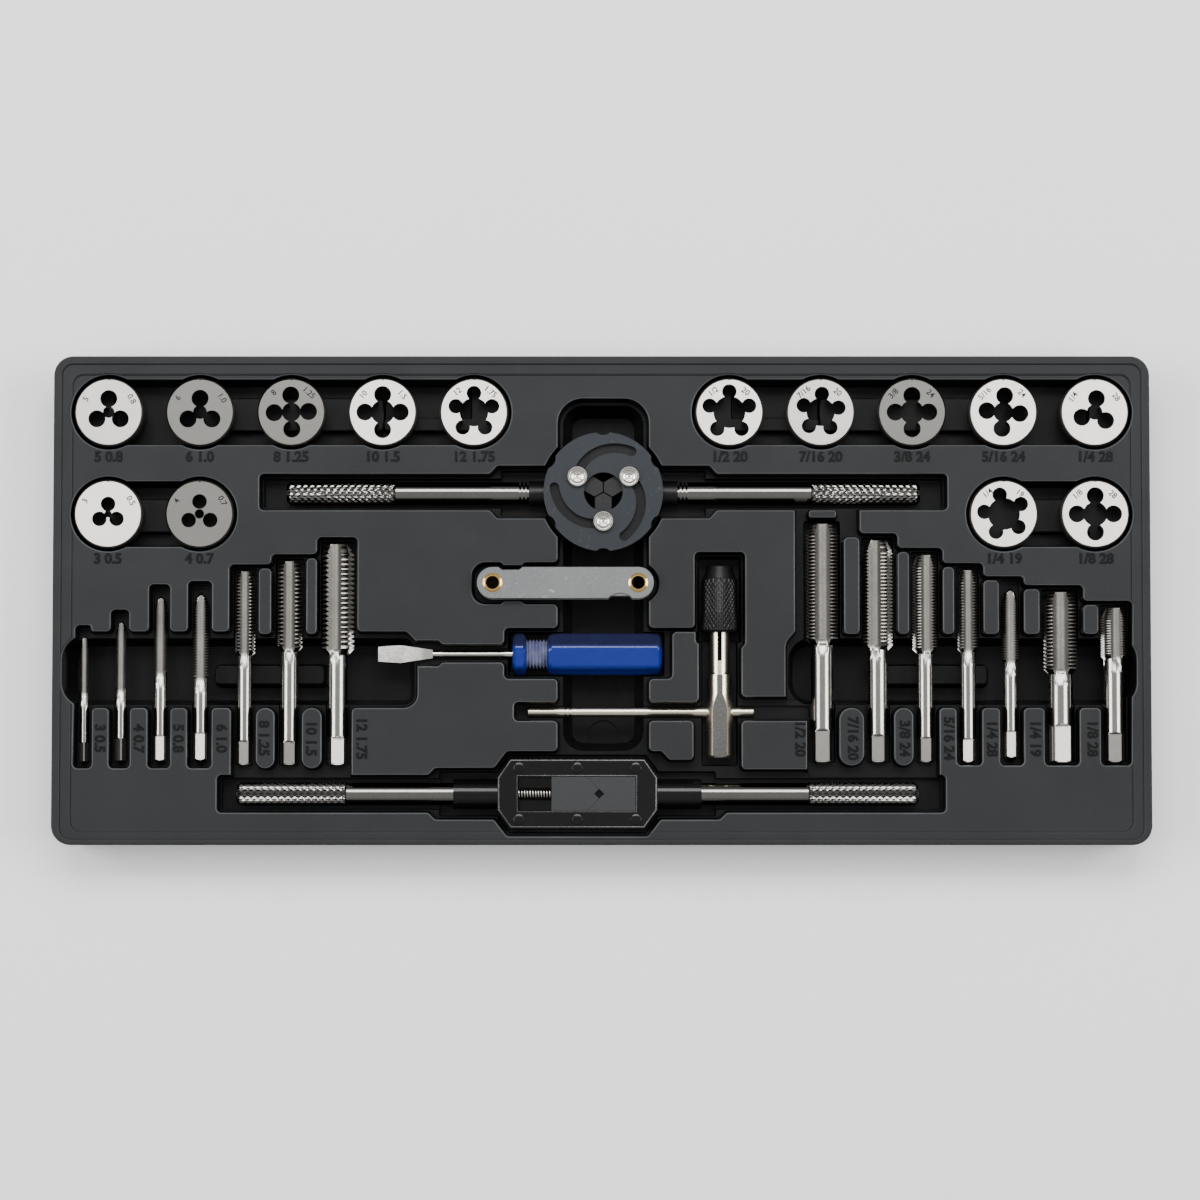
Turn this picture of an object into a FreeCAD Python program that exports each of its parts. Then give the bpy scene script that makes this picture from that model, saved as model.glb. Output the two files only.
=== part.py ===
import FreeCAD, Part
import math
import os

# Tap and die set lying in its moulded drawer tray.
# Millimetres. X runs along the tray, Y towards its rear edge, Z up.
# The origin is the middle of the tray's underside.

os.makedirs("parts", exist_ok=True)
Vector = FreeCAD.Vector

# Shared values
cut_over = 1.0
rest_gap = 0.2
face_gap = 0.05
running_gap = 0.1
least_round = 0.25

# Tray body
tray_length = 397.0
tray_width = 177.0
tray_height = 26.0
tray_corner = 7.0
tray_wall = 2.0
lip_width = 3.1
lip_drop = 0.7
ledge_width = 3.8
ledge_drop = 0.7
front_ledge_width = 2.6
front_lip_width = 2.2
side_draft = 1.5
pocket_draft = 6.0
well_draft = 8.0
column_draft = 12.0
edge_round = 0.6
corner_round = 1.7
corner_limit_share = 0.48
deck_z = tray_height - lip_drop - ledge_drop

# Where the tools lie on the tray
die_row_y = 68.2
die_row_step = 37.0
die_inner_x = 46.3
die_pitch = 33.1
stock_x = 0.6
stock_y = 39.2
stock_depth = 7.0
left_bank_x = -187.5
left_bank_span = 91.8
left_foot_y = -59.5
right_bank_x = 80.0
right_bank_span = 105.8
right_foot_y = -58.5
tap_depth = 5.5
wrench_x = -8.75
wrench_y = -70.0
wrench_depth = 6.0
t_wrench_x = 42.8
t_wrench_y = -40.3
t_wrench_depth = 7.2
driver_x = 22.0
driver_y = -19.3
driver_depth = 7.2
gauge_x = -13.1
gauge_y = 6.1
gauge_depth = 7.0

# Pockets
tap_side_clear = 1.3
tap_foot_side_clear = 1.7
tap_point_clear = 3.8
tap_blunt_clear = 2.4
tap_foot_clear = 1.3
island_gap = 1.4
island_notch = 7.4
ridge_drop = 0.15
trough_inset = 0.3
trough_reach = 6.0
tongue_y = -11.4
island_y = -12.3
lower_tongue_y = -39.0
well_end_reach = 4.2
well_depth = deck_z - tray_wall
well_round = 5.0
well_end_round = 9.0
left_well_right_x = -66.6
right_well_left_x = 66.5
blade_bay_slope = 4.0
right_bank_left_x = 70.0
bridge_width = 10.0
bridge_top_y = 33.0
bridge_bottom_y = 29.4
shelf_width = 40.0
shelf_depth = 7.0
shelf_height = 9.0
shelf_centre_x = 120.8
shelf_centre_y = -26.7
die_clear = 1.2
die_rise = 0.5
die_slot_width = 23.8
die_slot_depth = 13.5
die_slot_bite = 4.5
die_ridge_width = 12.3
die_ridge_low_width = 5.0
stock_clear = 2.2
stock_end_clear = 9.6
stock_shoulder_width = 19.1
stock_shoulder_reach = 38.5
stock_shoulder_slope = 2.6
ring_clear = 1.6
column_width = 33.0
column_top_y = 73.2
column_bottom_y = -56.0
pit_radius = 5.8
pit_drop = 1.0
pit_y = -32.3
pit_step = 16.3
gauge_clear = 2.0
gauge_grip_clear = 0.9
gauge_grip_length = 7.5
gauge_grip_place = 11.5
driver_clear = 1.6
driver_end_clear = 2.9
shaft_channel_width = 6.6
shaft_channel_step = 1.4
shaft_channel_step_length = 9.0
collar_clear = 1.9
collar_end_clear = 4.4
bar_clear = 1.6
bar_end_clear = 4.6
wrench_channel_clear = 2.5
wrench_end_clear = 6.8
wrench_right_end_clear = 9.6
wrench_step_clear = 3.9
wrench_step_reach = 22.5
wrench_step_slope = 2.5
wrench_body_clear = 2.9
wrench_end_gap = 1.2
t_body_side_clear = 2.9
island_bottom_y = -61.2

# Taps: thread diameter, whole length, threaded length, shank diameter and square length
tap_m3_thread = 3.0
tap_m3_length = 46.6
tap_m3_threaded = 20.2
tap_m3_shank = 3.4
tap_m3_square = 7.9
tap_m4_thread = 4.0
tap_m4_length = 52.2
tap_m4_threaded = 24.7
tap_m4_shank = 4.2
tap_m4_square = 9.4
tap_m5_thread = 5.0
tap_m5_length = 61.4
tap_m5_threaded = 27.8
tap_m5_shank = 4.8
tap_m5_square = 10.2
tap_m6_thread = 6.0
tap_m6_length = 62.6
tap_m6_threaded = 30.8
tap_m6_shank = 5.4
tap_m6_square = 11.2
tap_m8_thread = 8.0
tap_m8_length = 70.0
tap_m8_threaded = 29.3
tap_m8_shank = 5.6
tap_m8_square = 8.3
tap_m10_thread = 10.0
tap_m10_length = 73.7
tap_m10_threaded = 31.1
tap_m10_shank = 6.4
tap_m10_square = 8.1
tap_m12_thread = 12.0
tap_m12_length = 79.9
tap_m12_threaded = 37.9
tap_m12_shank = 7.4
tap_m12_square = 9.4
tap_half_thread = 12.7
tap_half_length = 86.3
tap_half_threaded = 41.8
tap_half_shank = 8.2
tap_half_square = 11.1
tap_seven_thread = 11.1
tap_seven_length = 80.3
tap_seven_threaded = 37.9
tap_seven_shank = 7.4
tap_seven_square = 9.3
tap_three_thread = 9.5
tap_three_length = 75.0
tap_three_threaded = 34.1
tap_three_shank = 6.0
tap_three_square = 8.5
tap_five_thread = 7.9
tap_five_length = 69.5
tap_five_threaded = 28.6
tap_five_shank = 5.8
tap_five_square = 8.0
tap_quarter_thread = 6.35
tap_quarter_length = 63.3
tap_quarter_threaded = 26.5
tap_quarter_shank = 5.2
tap_quarter_square = 10.8
tap_pipe_quarter_thread = 13.1
tap_pipe_quarter_length = 61.5
tap_pipe_quarter_threaded = 27.8
tap_pipe_quarter_shank = 9.2
tap_pipe_quarter_square = 12.8
tap_pipe_eighth_thread = 9.7
tap_pipe_eighth_length = 55.8
tap_pipe_eighth_threaded = 17.4
tap_pipe_eighth_shank = 7.6
tap_pipe_eighth_square = 10.0
tap_web_share = 0.42
tap_lead_share = 0.62
tap_square_share = 0.8
tap_lead_length = 4.0
tap_square_break = 0.5

# Dies
die_radius = 12.4
die_height = 9.0
die_edge = 0.6
die_notch_depth = 0.9
die_hole_small = 2.65
die_hole_large = 3.1
die_bore_m3 = 1.3
die_circle_m3 = 3.6
die_bore_m4 = 1.7
die_circle_m4 = 4.5
die_bore_m5 = 2.1
die_circle_m5 = 4.9
die_bore_m6 = 2.5
die_circle_m6 = 5.0
die_bore_m8 = 3.4
die_circle_m8 = 6.2
die_bore_m10 = 4.3
die_circle_m10 = 6.4
die_bore_m12 = 5.2
die_circle_m12 = 6.9
die_bore_half = 5.8
die_circle_half = 7.5
die_bore_seven = 5.1
die_circle_seven = 6.6
die_bore_three = 4.3
die_circle_three = 6.05
die_bore_five = 3.6
die_circle_five = 6.0
die_bore_quarter = 2.8
die_circle_quarter = 5.0
die_bore_pipe_quarter = 5.8
die_circle_pipe_quarter = 7.1
die_bore_pipe_eighth = 4.4
die_circle_pipe_eighth = 6.6

# Die stock
stock_ring_radius = 19.8
stock_ring_below = 6.6
stock_web = 1.9
stock_groove_depth = 2.1
stock_eye_radius = 7.0
stock_boss_radius = 4.5
stock_boss_reach = 27.0
stock_handle_end = 115.0
stock_knurl_length = 39.6
stock_knurl_radius = 4.4
stock_rod_radius = 4.1
stock_handle_edge = 1.2
stock_collar_radius = 3.3
stock_collar_rib = 0.6
stock_stud_radius = 2.5
stock_stud_length = 9.0
plate_radius = 21.6
plate_thickness = 2.2
plate_skirt_height = 1.6
plate_notch_radius = 3.6
plate_notch_depth = 1.1
plate_notch_count = 6
cam_start = 10.8
cam_travel = 7.0
cam_sweep = 95.0
cam_slot_width = 3.5
cam_pieces = 8
guide_width = 6.0
guide_thickness = 2.0
guide_tip = 0.25
guide_length = 12.6
guide_screw_radius = 1.5
guide_head_radius = 3.7
guide_head_height = 1.9
guide_head_dish = 1.4
clamp_screw_radius = 1.5
clamp_screw_length = 5.0
clamp_screw_count = 4

# Bar tap wrench
wrench_body_length = 57.7
wrench_body_width = 24.9
wrench_body_thickness = 11.0
wrench_corner_x = 4.6
wrench_corner_y = 6.6
wrench_cover_thickness = 2.0
wrench_web = 2.0
wrench_window_length = 42.5
wrench_window_width = 12.5
wrench_window_offset = -0.2
wrench_track_extra = 1.3
wrench_track_end = 0.8
wrench_boss_radius = 5.4
wrench_boss_length = 16.0
wrench_boss_bore = 3.8
wrench_handle_reach = 123.3
wrench_knurl_length = 39.8
wrench_knurl_radius = 4.3
wrench_rod_radius = 4.0
wrench_handle_edge = 1.2
wrench_spindle_radius = 2.5
wrench_jaw_seam_x = 7.9
wrench_square = 1.75
wrench_jaw_opening = 12.1
wrench_spindle_seat = 10.0
wrench_spindle_entry = 3.0
wrench_spindle_bore = 12.5
wrench_rivet_radius = 2.1
wrench_rivet_height = 0.4
wrench_rivet_shank = 1.3
wrench_rivet_rows = 18.6
wrench_rivet_spacing = 21.1
wrench_rivet_length = 6.0

# Tap wrench with a sliding bar
t_body_radius = 4.8
t_body_neck_radius = 4.2
t_body_bottom = 16.5
t_body_edge = 0.7
t_body_top = 13.5
t_body_flare = 6.5
t_body_flare_length = 5.0
t_body_flat = 4.1
t_collet_radius = 3.6
t_collet_shoulder = 0.8
t_collet_length = 29.5
t_slot_width = 1.6
t_slot_length = 24.5
t_socket_radius = 1.7
t_collar_radius = 7.2
t_collar_start = 28.8
t_collar_length = 19.4
t_collar_edge = 0.7
t_nose_radius = 4.2
t_nose_length = 5.1
t_nose_bore = 2.2
t_jaw_length = 8.0
t_jaw_gap = 0.8
t_jaw_socket = 0.9
t_bar_radius = 1.8
t_bar_left = 69.9
t_bar_right = 12.6
t_bar_edge = 0.5
t_bar_groove_place = 13.5
t_bar_groove_width = 0.9
t_bar_groove_depth = 0.3
t_bar_groove_count = 2

# Screwdriver
driver_grip_radius = 7.6
driver_grip_length = 41.7
driver_grip_round = 1.2
driver_grip_dome = 4.5
driver_neck_radius = 6.0
driver_neck_length = 7.6
driver_neck_rib = 0.5
driver_neck_ribs = 5
driver_head_length = 5.0
driver_head_edge = 1.5
driver_shaft_radius = 1.5
driver_shaft_length = 29.0
driver_shaft_seat = 20.0
driver_blade_length = 19.8
driver_blade_width = 6.4
driver_blade_wide_length = 8.0
driver_tip_thickness = 0.9
driver_tip_width = 5.3
driver_grip_roll = 10.0

# Screw pitch gauge
gauge_length = 63.8
gauge_width = 11.2
gauge_plate = 0.8
gauge_rise = 4.2
gauge_leaf = 0.3
gauge_leaf_count = 3
gauge_leaf_width = 9.4
gauge_leaf_tip_width = 6.4
gauge_leaf_lift = 1.25
gauge_stack_leaf = 0.8
gauge_stack_count = 8
gauge_eyelet_radius = 3.5
gauge_eyelet_bore = 2.4
gauge_eyelet_body = 2.8
gauge_eyelet_lip = 0.35
gauge_thumb_radius = 6.0
gauge_thumb_depth = 1.9
gauge_thumb_place = 6.5
gauge_leaf_end = 6.0


# Geometry helpers

def offset_points(points, distance):
    """Moves every side of a counter-clockwise outline outward by the distance."""
    moved = []
    count = len(points)
    for index in range(count):
        before = points[index - 1]
        here = points[index]
        after = points[(index + 1) % count]
        first = Vector(here[0] - before[0], here[1] - before[1], 0)
        second = Vector(after[0] - here[0], after[1] - here[1], 0)
        first.normalize()
        second.normalize()
        spread = 1 + first.dot(second)
        shift_x = distance * (first.y + second.y) / spread
        shift_y = -distance * (first.x + second.x) / spread
        moved.append((here[0] + shift_x, here[1] + shift_y))
    return moved


def counter_clockwise(points):
    """Returns the outline with its points in counter-clockwise order."""
    total = 0
    for index in range(len(points)):
        before = points[index - 1]
        here = points[index]
        total = total + before[0] * here[1] - here[0] * before[1]
    if total < 0:
        return list(reversed(points))
    return list(points)


def rounded_wire(points, rounding, grow, height):
    """Closed wire at a height, offset outward by grow, with an arc at every corner.

    A point may carry its own radius as a third value. A corner's radius is
    limited by the shorter of the two sides that meet there.
    """
    corners = offset_points(points, grow)
    count = len(corners)
    starts = []
    middles = []
    ends = []
    for index in range(count):
        before = Vector(corners[index - 1][0], corners[index - 1][1], height)
        here = Vector(corners[index][0], corners[index][1], height)
        after = Vector(corners[(index + 1) % count][0], corners[(index + 1) % count][1], height)
        back = before - here
        ahead = after - here
        shorter = min(back.Length, ahead.Length)
        turn = (here - before).cross(ahead).z
        back.normalize()
        ahead.normalize()
        half = math.acos(max(-1, min(1, back.dot(ahead)))) / 2
        wanted = points[index][2] if len(points[index]) > 2 else rounding
        radius = max(least_round, wanted + (grow if turn > 0 else -grow))
        radius = min(radius, corner_limit_share * shorter * math.tan(half))
        reach = radius / math.tan(half)
        middle = (back + ahead).normalize()
        starts.append(here + back * reach)
        ends.append(here + ahead * reach)
        middles.append(here + middle * (radius / math.sin(half) - radius))
    edges = []
    for index in range(count):
        edges.append(Part.Arc(starts[index], middles[index], ends[index]).toShape())
        edges.append(Part.LineSegment(ends[index], starts[(index + 1) % count]).toShape())
    return Part.Wire(edges)


def sunk(points, depth, draft=pocket_draft, rounding=corner_round, top=deck_z):
    """Hollow of a pocket: the outline at the deck, drawn in towards its floor, with a rounded mouth."""
    points = counter_clockwise(points)
    slope = math.tan(math.radians(draft))
    eighth = edge_round * (1 - math.cos(math.radians(45)))
    wires = [
        rounded_wire(points, rounding, -depth * slope, top - depth),
        rounded_wire(points, rounding, 0, top - edge_round),
        rounded_wire(points, rounding, eighth, top - eighth),
        rounded_wire(points, rounding, edge_round, top),
        rounded_wire(points, rounding, edge_round, top + cut_over),
    ]
    return Part.makeLoft(wires, True, True)


def shell(points, depth, draft=pocket_draft, rounding=corner_round, top=deck_z):
    """Moulded wall and floor round a pocket, before its hollow is cut."""
    points = counter_clockwise(points)
    slope = math.tan(math.radians(draft))
    grown = tray_wall - (depth + tray_wall) * slope
    wires = [
        rounded_wire(points, rounding, grown, top - depth - tray_wall),
        rounded_wire(points, rounding, tray_wall, top - face_gap),
    ]
    return Part.makeLoft(wires, True, True)


def raised(points, depth, draft=pocket_draft, rounding=corner_round, top=deck_z):
    """Island that stands in a pocket: the outline at its top, spreading towards its foot."""
    points = counter_clockwise(points)
    slope = math.tan(math.radians(draft))
    eighth = edge_round * (1 - math.cos(math.radians(45)))
    wires = [
        rounded_wire(points, rounding, depth * slope, top - depth),
        rounded_wire(points, rounding, 0, top - edge_round),
        rounded_wire(points, rounding, -eighth, top - eighth),
        rounded_wire(points, rounding, -edge_round, top),
    ]
    return Part.makeLoft(wires, True, True)


def rectangle(left, bottom, right, top, rounding=None):
    """Four corner points of an upright rectangle, each with its own rounding if one is given."""
    points = [(left, bottom), (right, bottom), (right, top), (left, top)]
    if rounding is None:
        return points
    return [(x, y, rounding) for x, y in points]


def cylinder(radius, length, base, axis):
    """Round bar from its base point along an axis."""
    return Part.makeCylinder(radius, length, base, axis)


def turned(profile, centre, axis):
    """Solid turned from (distance along the axis, radius) points, starting and ending on the axis."""
    points = [Vector(radius, 0, along) for along, radius in profile]
    points.append(points[0])
    face = Part.Face(Part.makePolygon(points))
    solid = face.revolve(Vector(0, 0, 0), Vector(0, 0, 1), 360)
    solid.Placement = FreeCAD.Placement(centre, FreeCAD.Rotation(Vector(0, 0, 1), axis))
    return solid


def plate(points, thickness, bottom):
    """Flat plate with straight sides from (x, y) points."""
    outline = [Vector(x, y, bottom) for x, y in points]
    outline.append(outline[0])
    return Part.Face(Part.makePolygon(outline)).extrude(Vector(0, 0, thickness))


def box(x_size, y_size, z_size, centre_x, centre_y, bottom):
    """Upright box from its sizes, the middle of its plan and its bottom."""
    corner = Vector(centre_x - x_size / 2, centre_y - y_size / 2, bottom)
    return Part.makeBox(x_size, y_size, z_size, corner)


def save(name, shapes):
    """Writes one sub-part; several solids become one group."""
    solids = []
    for shape in shapes:
        solids.extend(shape.Solids)
    whole = solids[0] if len(solids) == 1 else Part.makeCompound(solids)
    if not whole.isValid() or whole.Volume <= 0:
        raise ValueError(name + " isn't a valid solid")
    whole.exportStep("parts/" + name + ".step")
    print(name, len(solids), round(whole.Volume, 1))


AXIS_X = Vector(1, 0, 0)
AXIS_Y = Vector(0, 1, 0)
AXIS_Z = Vector(0, 0, 1)


# Tables of the set, in named sizes

left_bank_shares = (0.0, 0.145, 0.3007, 0.4597, 0.633, 0.8094, 1.0)
right_bank_shares = (0.0, 0.1909, 0.3526, 0.4991, 0.6446, 0.8157, 1.0)

left_taps = (
    ("tap_m3", tap_m3_thread, tap_m3_length, tap_m3_threaded, tap_m3_shank, tap_m3_square, 3, True),
    ("tap_m4", tap_m4_thread, tap_m4_length, tap_m4_threaded, tap_m4_shank, tap_m4_square, 3, True),
    ("tap_m5", tap_m5_thread, tap_m5_length, tap_m5_threaded, tap_m5_shank, tap_m5_square, 3, True),
    ("tap_m6", tap_m6_thread, tap_m6_length, tap_m6_threaded, tap_m6_shank, tap_m6_square, 3, True),
    ("tap_m8", tap_m8_thread, tap_m8_length, tap_m8_threaded, tap_m8_shank, tap_m8_square, 4, False),
    ("tap_m10", tap_m10_thread, tap_m10_length, tap_m10_threaded, tap_m10_shank, tap_m10_square, 4, False),
    ("tap_m12", tap_m12_thread, tap_m12_length, tap_m12_threaded, tap_m12_shank, tap_m12_square, 4, False),
)
right_taps = (
    ("tap_half_20", tap_half_thread, tap_half_length, tap_half_threaded,
     tap_half_shank, tap_half_square, 4, False),
    ("tap_seven_sixteenths_20", tap_seven_thread, tap_seven_length, tap_seven_threaded,
     tap_seven_shank, tap_seven_square, 4, False),
    ("tap_three_eighths_24", tap_three_thread, tap_three_length, tap_three_threaded,
     tap_three_shank, tap_three_square, 4, False),
    ("tap_five_sixteenths_24", tap_five_thread, tap_five_length, tap_five_threaded,
     tap_five_shank, tap_five_square, 4, False),
    ("tap_quarter_28", tap_quarter_thread, tap_quarter_length, tap_quarter_threaded,
     tap_quarter_shank, tap_quarter_square, 3, True),
    ("tap_pipe_quarter_19", tap_pipe_quarter_thread, tap_pipe_quarter_length, tap_pipe_quarter_threaded,
     tap_pipe_quarter_shank, tap_pipe_quarter_square, 4, False),
    ("tap_pipe_eighth_28", tap_pipe_eighth_thread, tap_pipe_eighth_length, tap_pipe_eighth_threaded,
     tap_pipe_eighth_shank, tap_pipe_eighth_square, 4, False),
)

# Each die: name, bore radius, hole circle radius, hole radius, number of holes,
# column and row of its pocket, and the turn of its holes in degrees
dies = (
    ("die_m5", die_bore_m5, die_circle_m5, die_hole_large, 3, -5, 0, 0),
    ("die_m6", die_bore_m6, die_circle_m6, die_hole_large, 3, -4, 0, 0),
    ("die_m8", die_bore_m8, die_circle_m8, die_hole_large, 4, -3, 0, 2),
    ("die_m10", die_bore_m10, die_circle_m10, die_hole_large, 4, -2, 0, 0),
    ("die_m12", die_bore_m12, die_circle_m12, die_hole_small, 5, -1, 0, 0),
    ("die_half_20", die_bore_half, die_circle_half, die_hole_small, 5, 1, 0, 0),
    ("die_seven_sixteenths_20", die_bore_seven, die_circle_seven, die_hole_small, 5, 2, 0, -4),
    ("die_three_eighths_24", die_bore_three, die_circle_three, die_hole_large, 4, 3, 0, 0),
    ("die_five_sixteenths_24", die_bore_five, die_circle_five, die_hole_large, 4, 4, 0, -5),
    ("die_quarter_28", die_bore_quarter, die_circle_quarter, die_hole_large, 3, 5, 0, -8),
    ("die_m3", die_bore_m3, die_circle_m3, die_hole_small, 3, -5, 1, 0),
    ("die_m4", die_bore_m4, die_circle_m4, die_hole_small, 3, -4, 1, 0),
    ("die_pipe_quarter_19", die_bore_pipe_quarter, die_circle_pipe_quarter, die_hole_small, 5, 4, 1, 12),
    ("die_pipe_eighth_28", die_bore_pipe_eighth, die_circle_pipe_eighth, die_hole_large, 4, 5, 1, 0),
)


def die_place(column, row):
    """Middle of a die pocket: columns count outward from the tray's middle, rows from the rear."""
    side = 1 if column > 0 else -1
    x = side * (die_inner_x + (abs(column) - 1) * die_pitch)
    return x, die_row_y - row * die_row_step


def bank_places(start, span, shares):
    """Tap centre lines along one bank."""
    return [start + span * share for share in shares]


left_places = bank_places(left_bank_x, left_bank_span, left_bank_shares)
right_places = bank_places(right_bank_x, right_bank_span, right_bank_shares)


# Tray pockets

def pocket_column(tap, x, foot_y):
    """Edges of one tap's pocket at the deck: upper and lower half widths and the end beyond the tap."""
    name, thread, length, threaded, shank, square, flutes, pointed = tap
    upper = thread / 2 + tap_side_clear
    lower = shank / 2 + tap_foot_side_clear
    end_clear = tap_point_clear if pointed else tap_blunt_clear
    return {"x": x, "upper": upper, "lower": lower, "top": foot_y + length + end_clear,
            "foot": foot_y - tap_foot_clear, "thread": thread, "shank": shank,
            "shoulder": foot_y + length - threaded}


left_columns = [pocket_column(tap, x, left_foot_y) for tap, x in zip(left_taps, left_places)]
right_columns = [pocket_column(tap, x, right_foot_y) for tap, x in zip(right_taps, right_places)]
thinnest = min(min(tap[1], tap[4]) for tap in left_taps + right_taps)
bank_depth = tap_depth + thinnest / 2

# Edges that several pockets share
column_left = stock_x - column_width / 2
column_right = stock_x + column_width / 2
driver_front_length = driver_grip_length + driver_neck_length + driver_head_length
driver_front = driver_x - driver_front_length
stock_floor = stock_depth + stock_knurl_radius + rest_gap
stock_half = stock_knurl_radius + stock_clear
wrench_floor = wrench_depth + wrench_knurl_radius + rest_gap
wrench_half = wrench_knurl_radius + wrench_channel_clear
wrench_left = wrench_x - wrench_body_length / 2
wrench_right = wrench_x + wrench_body_length / 2


def bank_top(columns, joined_from, rising):
    """Upper edge of a bank from left to right.

    Pockets before joined_from are apart, with a tongue of deck between them.
    From there on the edge is a staircase, each step at the side of the longer pocket.
    """
    points = []
    for index, column in enumerate(columns):
        left = column["x"] - column["upper"]
        right = column["x"] + column["upper"]
        first = index == 0
        last = index == len(columns) - 1
        joined_left = index > joined_from
        joined_right = index >= joined_from and not last
        if not joined_left:
            if not first:
                points.append((left, tongue_y))
            points.append((left, column["top"]))
        elif rising:
            points.append((left, columns[index - 1]["top"]))
            points.append((left, column["top"]))
        if not joined_right:
            points.append((right, column["top"]))
            if not last:
                points.append((right, tongue_y))
        elif not rising:
            points.append((right, column["top"]))
            points.append((right, columns[index + 1]["top"]))
    return points


def closed_feet(columns):
    """Lower edge of neighbouring pockets that end in the deck, from left to right."""
    points = []
    for index, column in enumerate(columns):
        left = column["x"] - column["lower"]
        right = column["x"] + column["lower"]
        if index > 0:
            points.append((left, lower_tongue_y))
        points.append((left, column["foot"]))
        points.append((right, column["foot"]))
        if index < len(columns) - 1:
            points.append((right, lower_tongue_y))
    return points


def bank_islands(columns, joined_from, open_columns):
    """Islands between joined pockets above the finger well, and between open pockets below it."""
    outlines = []
    for index in range(joined_from, len(columns) - 1):
        here = columns[index]
        after = columns[index + 1]
        top = min(here["top"], after["top"]) - island_gap
        left = here["x"] + here["upper"]
        right = after["x"] - after["upper"]
        outlines.append(rectangle(left, island_y, right, top))
    for here, after in open_columns:
        left = here["x"] + here["lower"]
        right = after["x"] - after["lower"]
        foot = min(here["foot"], after["foot"])
        outlines.append(rectangle(left, foot, right, lower_tongue_y, (right - left) / 2))
    return outlines


def troughs(columns):
    """Deeper grooves that carry each tap's thread and its shank."""
    pockets = []
    for column in columns:
        narrow = column["upper"] - trough_inset
        left = column["x"] - narrow
        right = column["x"] + narrow
        pockets.append((rectangle(left, island_y - trough_reach, right, column["top"] - trough_inset),
                        tap_depth + column["thread"] / 2 + rest_gap))
        narrow = column["lower"] - trough_inset
        left = column["x"] - narrow
        right = column["x"] + narrow
        pockets.append((rectangle(left, column["foot"] + trough_inset, right, lower_tongue_y + trough_reach),
                        tap_depth + column["shank"] / 2 + rest_gap))
    return pockets


def left_bank():
    """Outline of the left bank: seven tap pockets, the finger well between them and the blade bay."""
    first = left_columns[0]
    last = left_columns[-1]
    open_left = left_columns[4]["x"] - left_columns[4]["lower"]
    points = bank_top(left_columns, 4, True)
    points.append((last["x"] + last["upper"], tongue_y))
    points.append((left_well_right_x - blade_bay_slope, tongue_y))
    points.append((left_well_right_x, tongue_y - blade_bay_slope))
    points.append((left_well_right_x, lower_tongue_y, well_round))
    points.append((last["x"] + last["lower"], lower_tongue_y))
    points.append((last["x"] + last["lower"], wrench_y))
    points.append((open_left, wrench_y))
    points.append((open_left, lower_tongue_y))
    right_foot = left_columns[3]["x"] + left_columns[3]["lower"]
    points.append((right_foot, lower_tongue_y))
    feet = closed_feet(left_columns[:4])
    feet[0] = (first["x"] - first["lower"], first["foot"])
    points.extend(reversed(feet))
    return points


def right_bank():
    """Outline of the right bank, whose longest pocket opens into the die stock's channel."""
    first = right_columns[0]
    second = right_columns[1]
    third = right_columns[2]
    fourth = right_columns[3]
    points = [(right_well_left_x, lower_tongue_y, well_round)]
    points.append((right_well_left_x, tongue_y - blade_bay_slope, well_round))
    points.append((right_bank_left_x, tongue_y))
    points.append((right_bank_left_x, stock_y))
    points.append((second["x"] - second["upper"], stock_y))
    points.extend(bank_top(right_columns[1:], 0, False))
    points.extend(reversed(closed_feet(right_columns[3:])))
    points.append((fourth["x"] - fourth["lower"], lower_tongue_y))
    points.append((third["x"] + third["lower"], lower_tongue_y))
    points.append((third["x"] + third["lower"], wrench_y))
    points.append((first["x"] - first["lower"], wrench_y))
    points.append((first["x"] - first["lower"], lower_tongue_y))
    return points


# Edges of the middle network of channels
stock_left = stock_x - stock_handle_end - stock_end_clear
stock_right = stock_x + stock_handle_end + stock_end_clear
shoulder_half = stock_shoulder_width / 2
shoulder_far = stock_shoulder_reach + stock_shoulder_slope
gauge_left = gauge_x - gauge_length / 2 - gauge_clear
gauge_right = gauge_x + gauge_length / 2 + gauge_clear
gauge_half = gauge_width / 2 + gauge_clear
gauge_grip_half = gauge_width / 2 + gauge_grip_clear
gauge_floor = gauge_depth + gauge_eyelet_lip + rest_gap
grip_left = gauge_left + gauge_grip_place
grip_right = grip_left + gauge_grip_length
driver_left = driver_front - driver_end_clear
driver_right = driver_x + driver_clear
driver_half = driver_grip_radius + driver_clear
driver_floor = driver_depth + driver_grip_radius + rest_gap
shaft_half = shaft_channel_width / 2
shaft_wide = shaft_half + shaft_channel_step
shaft_step_x = left_well_right_x + shaft_channel_step_length
shaft_floor = driver_depth + driver_shaft_radius + rest_gap
collar_left = t_wrench_x - t_collar_radius - collar_clear
collar_right = t_wrench_x + t_collar_radius + collar_clear
collar_top = t_wrench_y + t_collar_start + t_collar_length + t_nose_length + collar_end_clear
collar_bottom = t_wrench_y + t_collar_start - collar_end_clear
collar_floor = t_wrench_depth + t_collar_radius + rest_gap
t_left = t_wrench_x - t_body_radius - t_body_side_clear
t_right = t_wrench_x + t_body_radius + t_body_side_clear
t_floor = t_wrench_depth + t_body_radius + rest_gap
bar_top = t_wrench_y + t_bar_radius + bar_clear
bar_bottom = t_wrench_y - t_bar_radius - bar_clear
bar_left = t_wrench_x - t_bar_left - bar_end_clear
bar_floor = t_wrench_depth + t_bar_radius + rest_gap
bar_gap_right = right_columns[0]["x"] - right_columns[0]["shank"] / 2
body_top_y = wrench_y + wrench_body_width / 2 + wrench_body_clear
body_bottom_y = wrench_y - wrench_body_width / 2 - wrench_body_clear
body_floor = wrench_depth + wrench_body_thickness / 2 + rest_gap
step_top_y = wrench_y + wrench_boss_radius + wrench_step_clear
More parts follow.
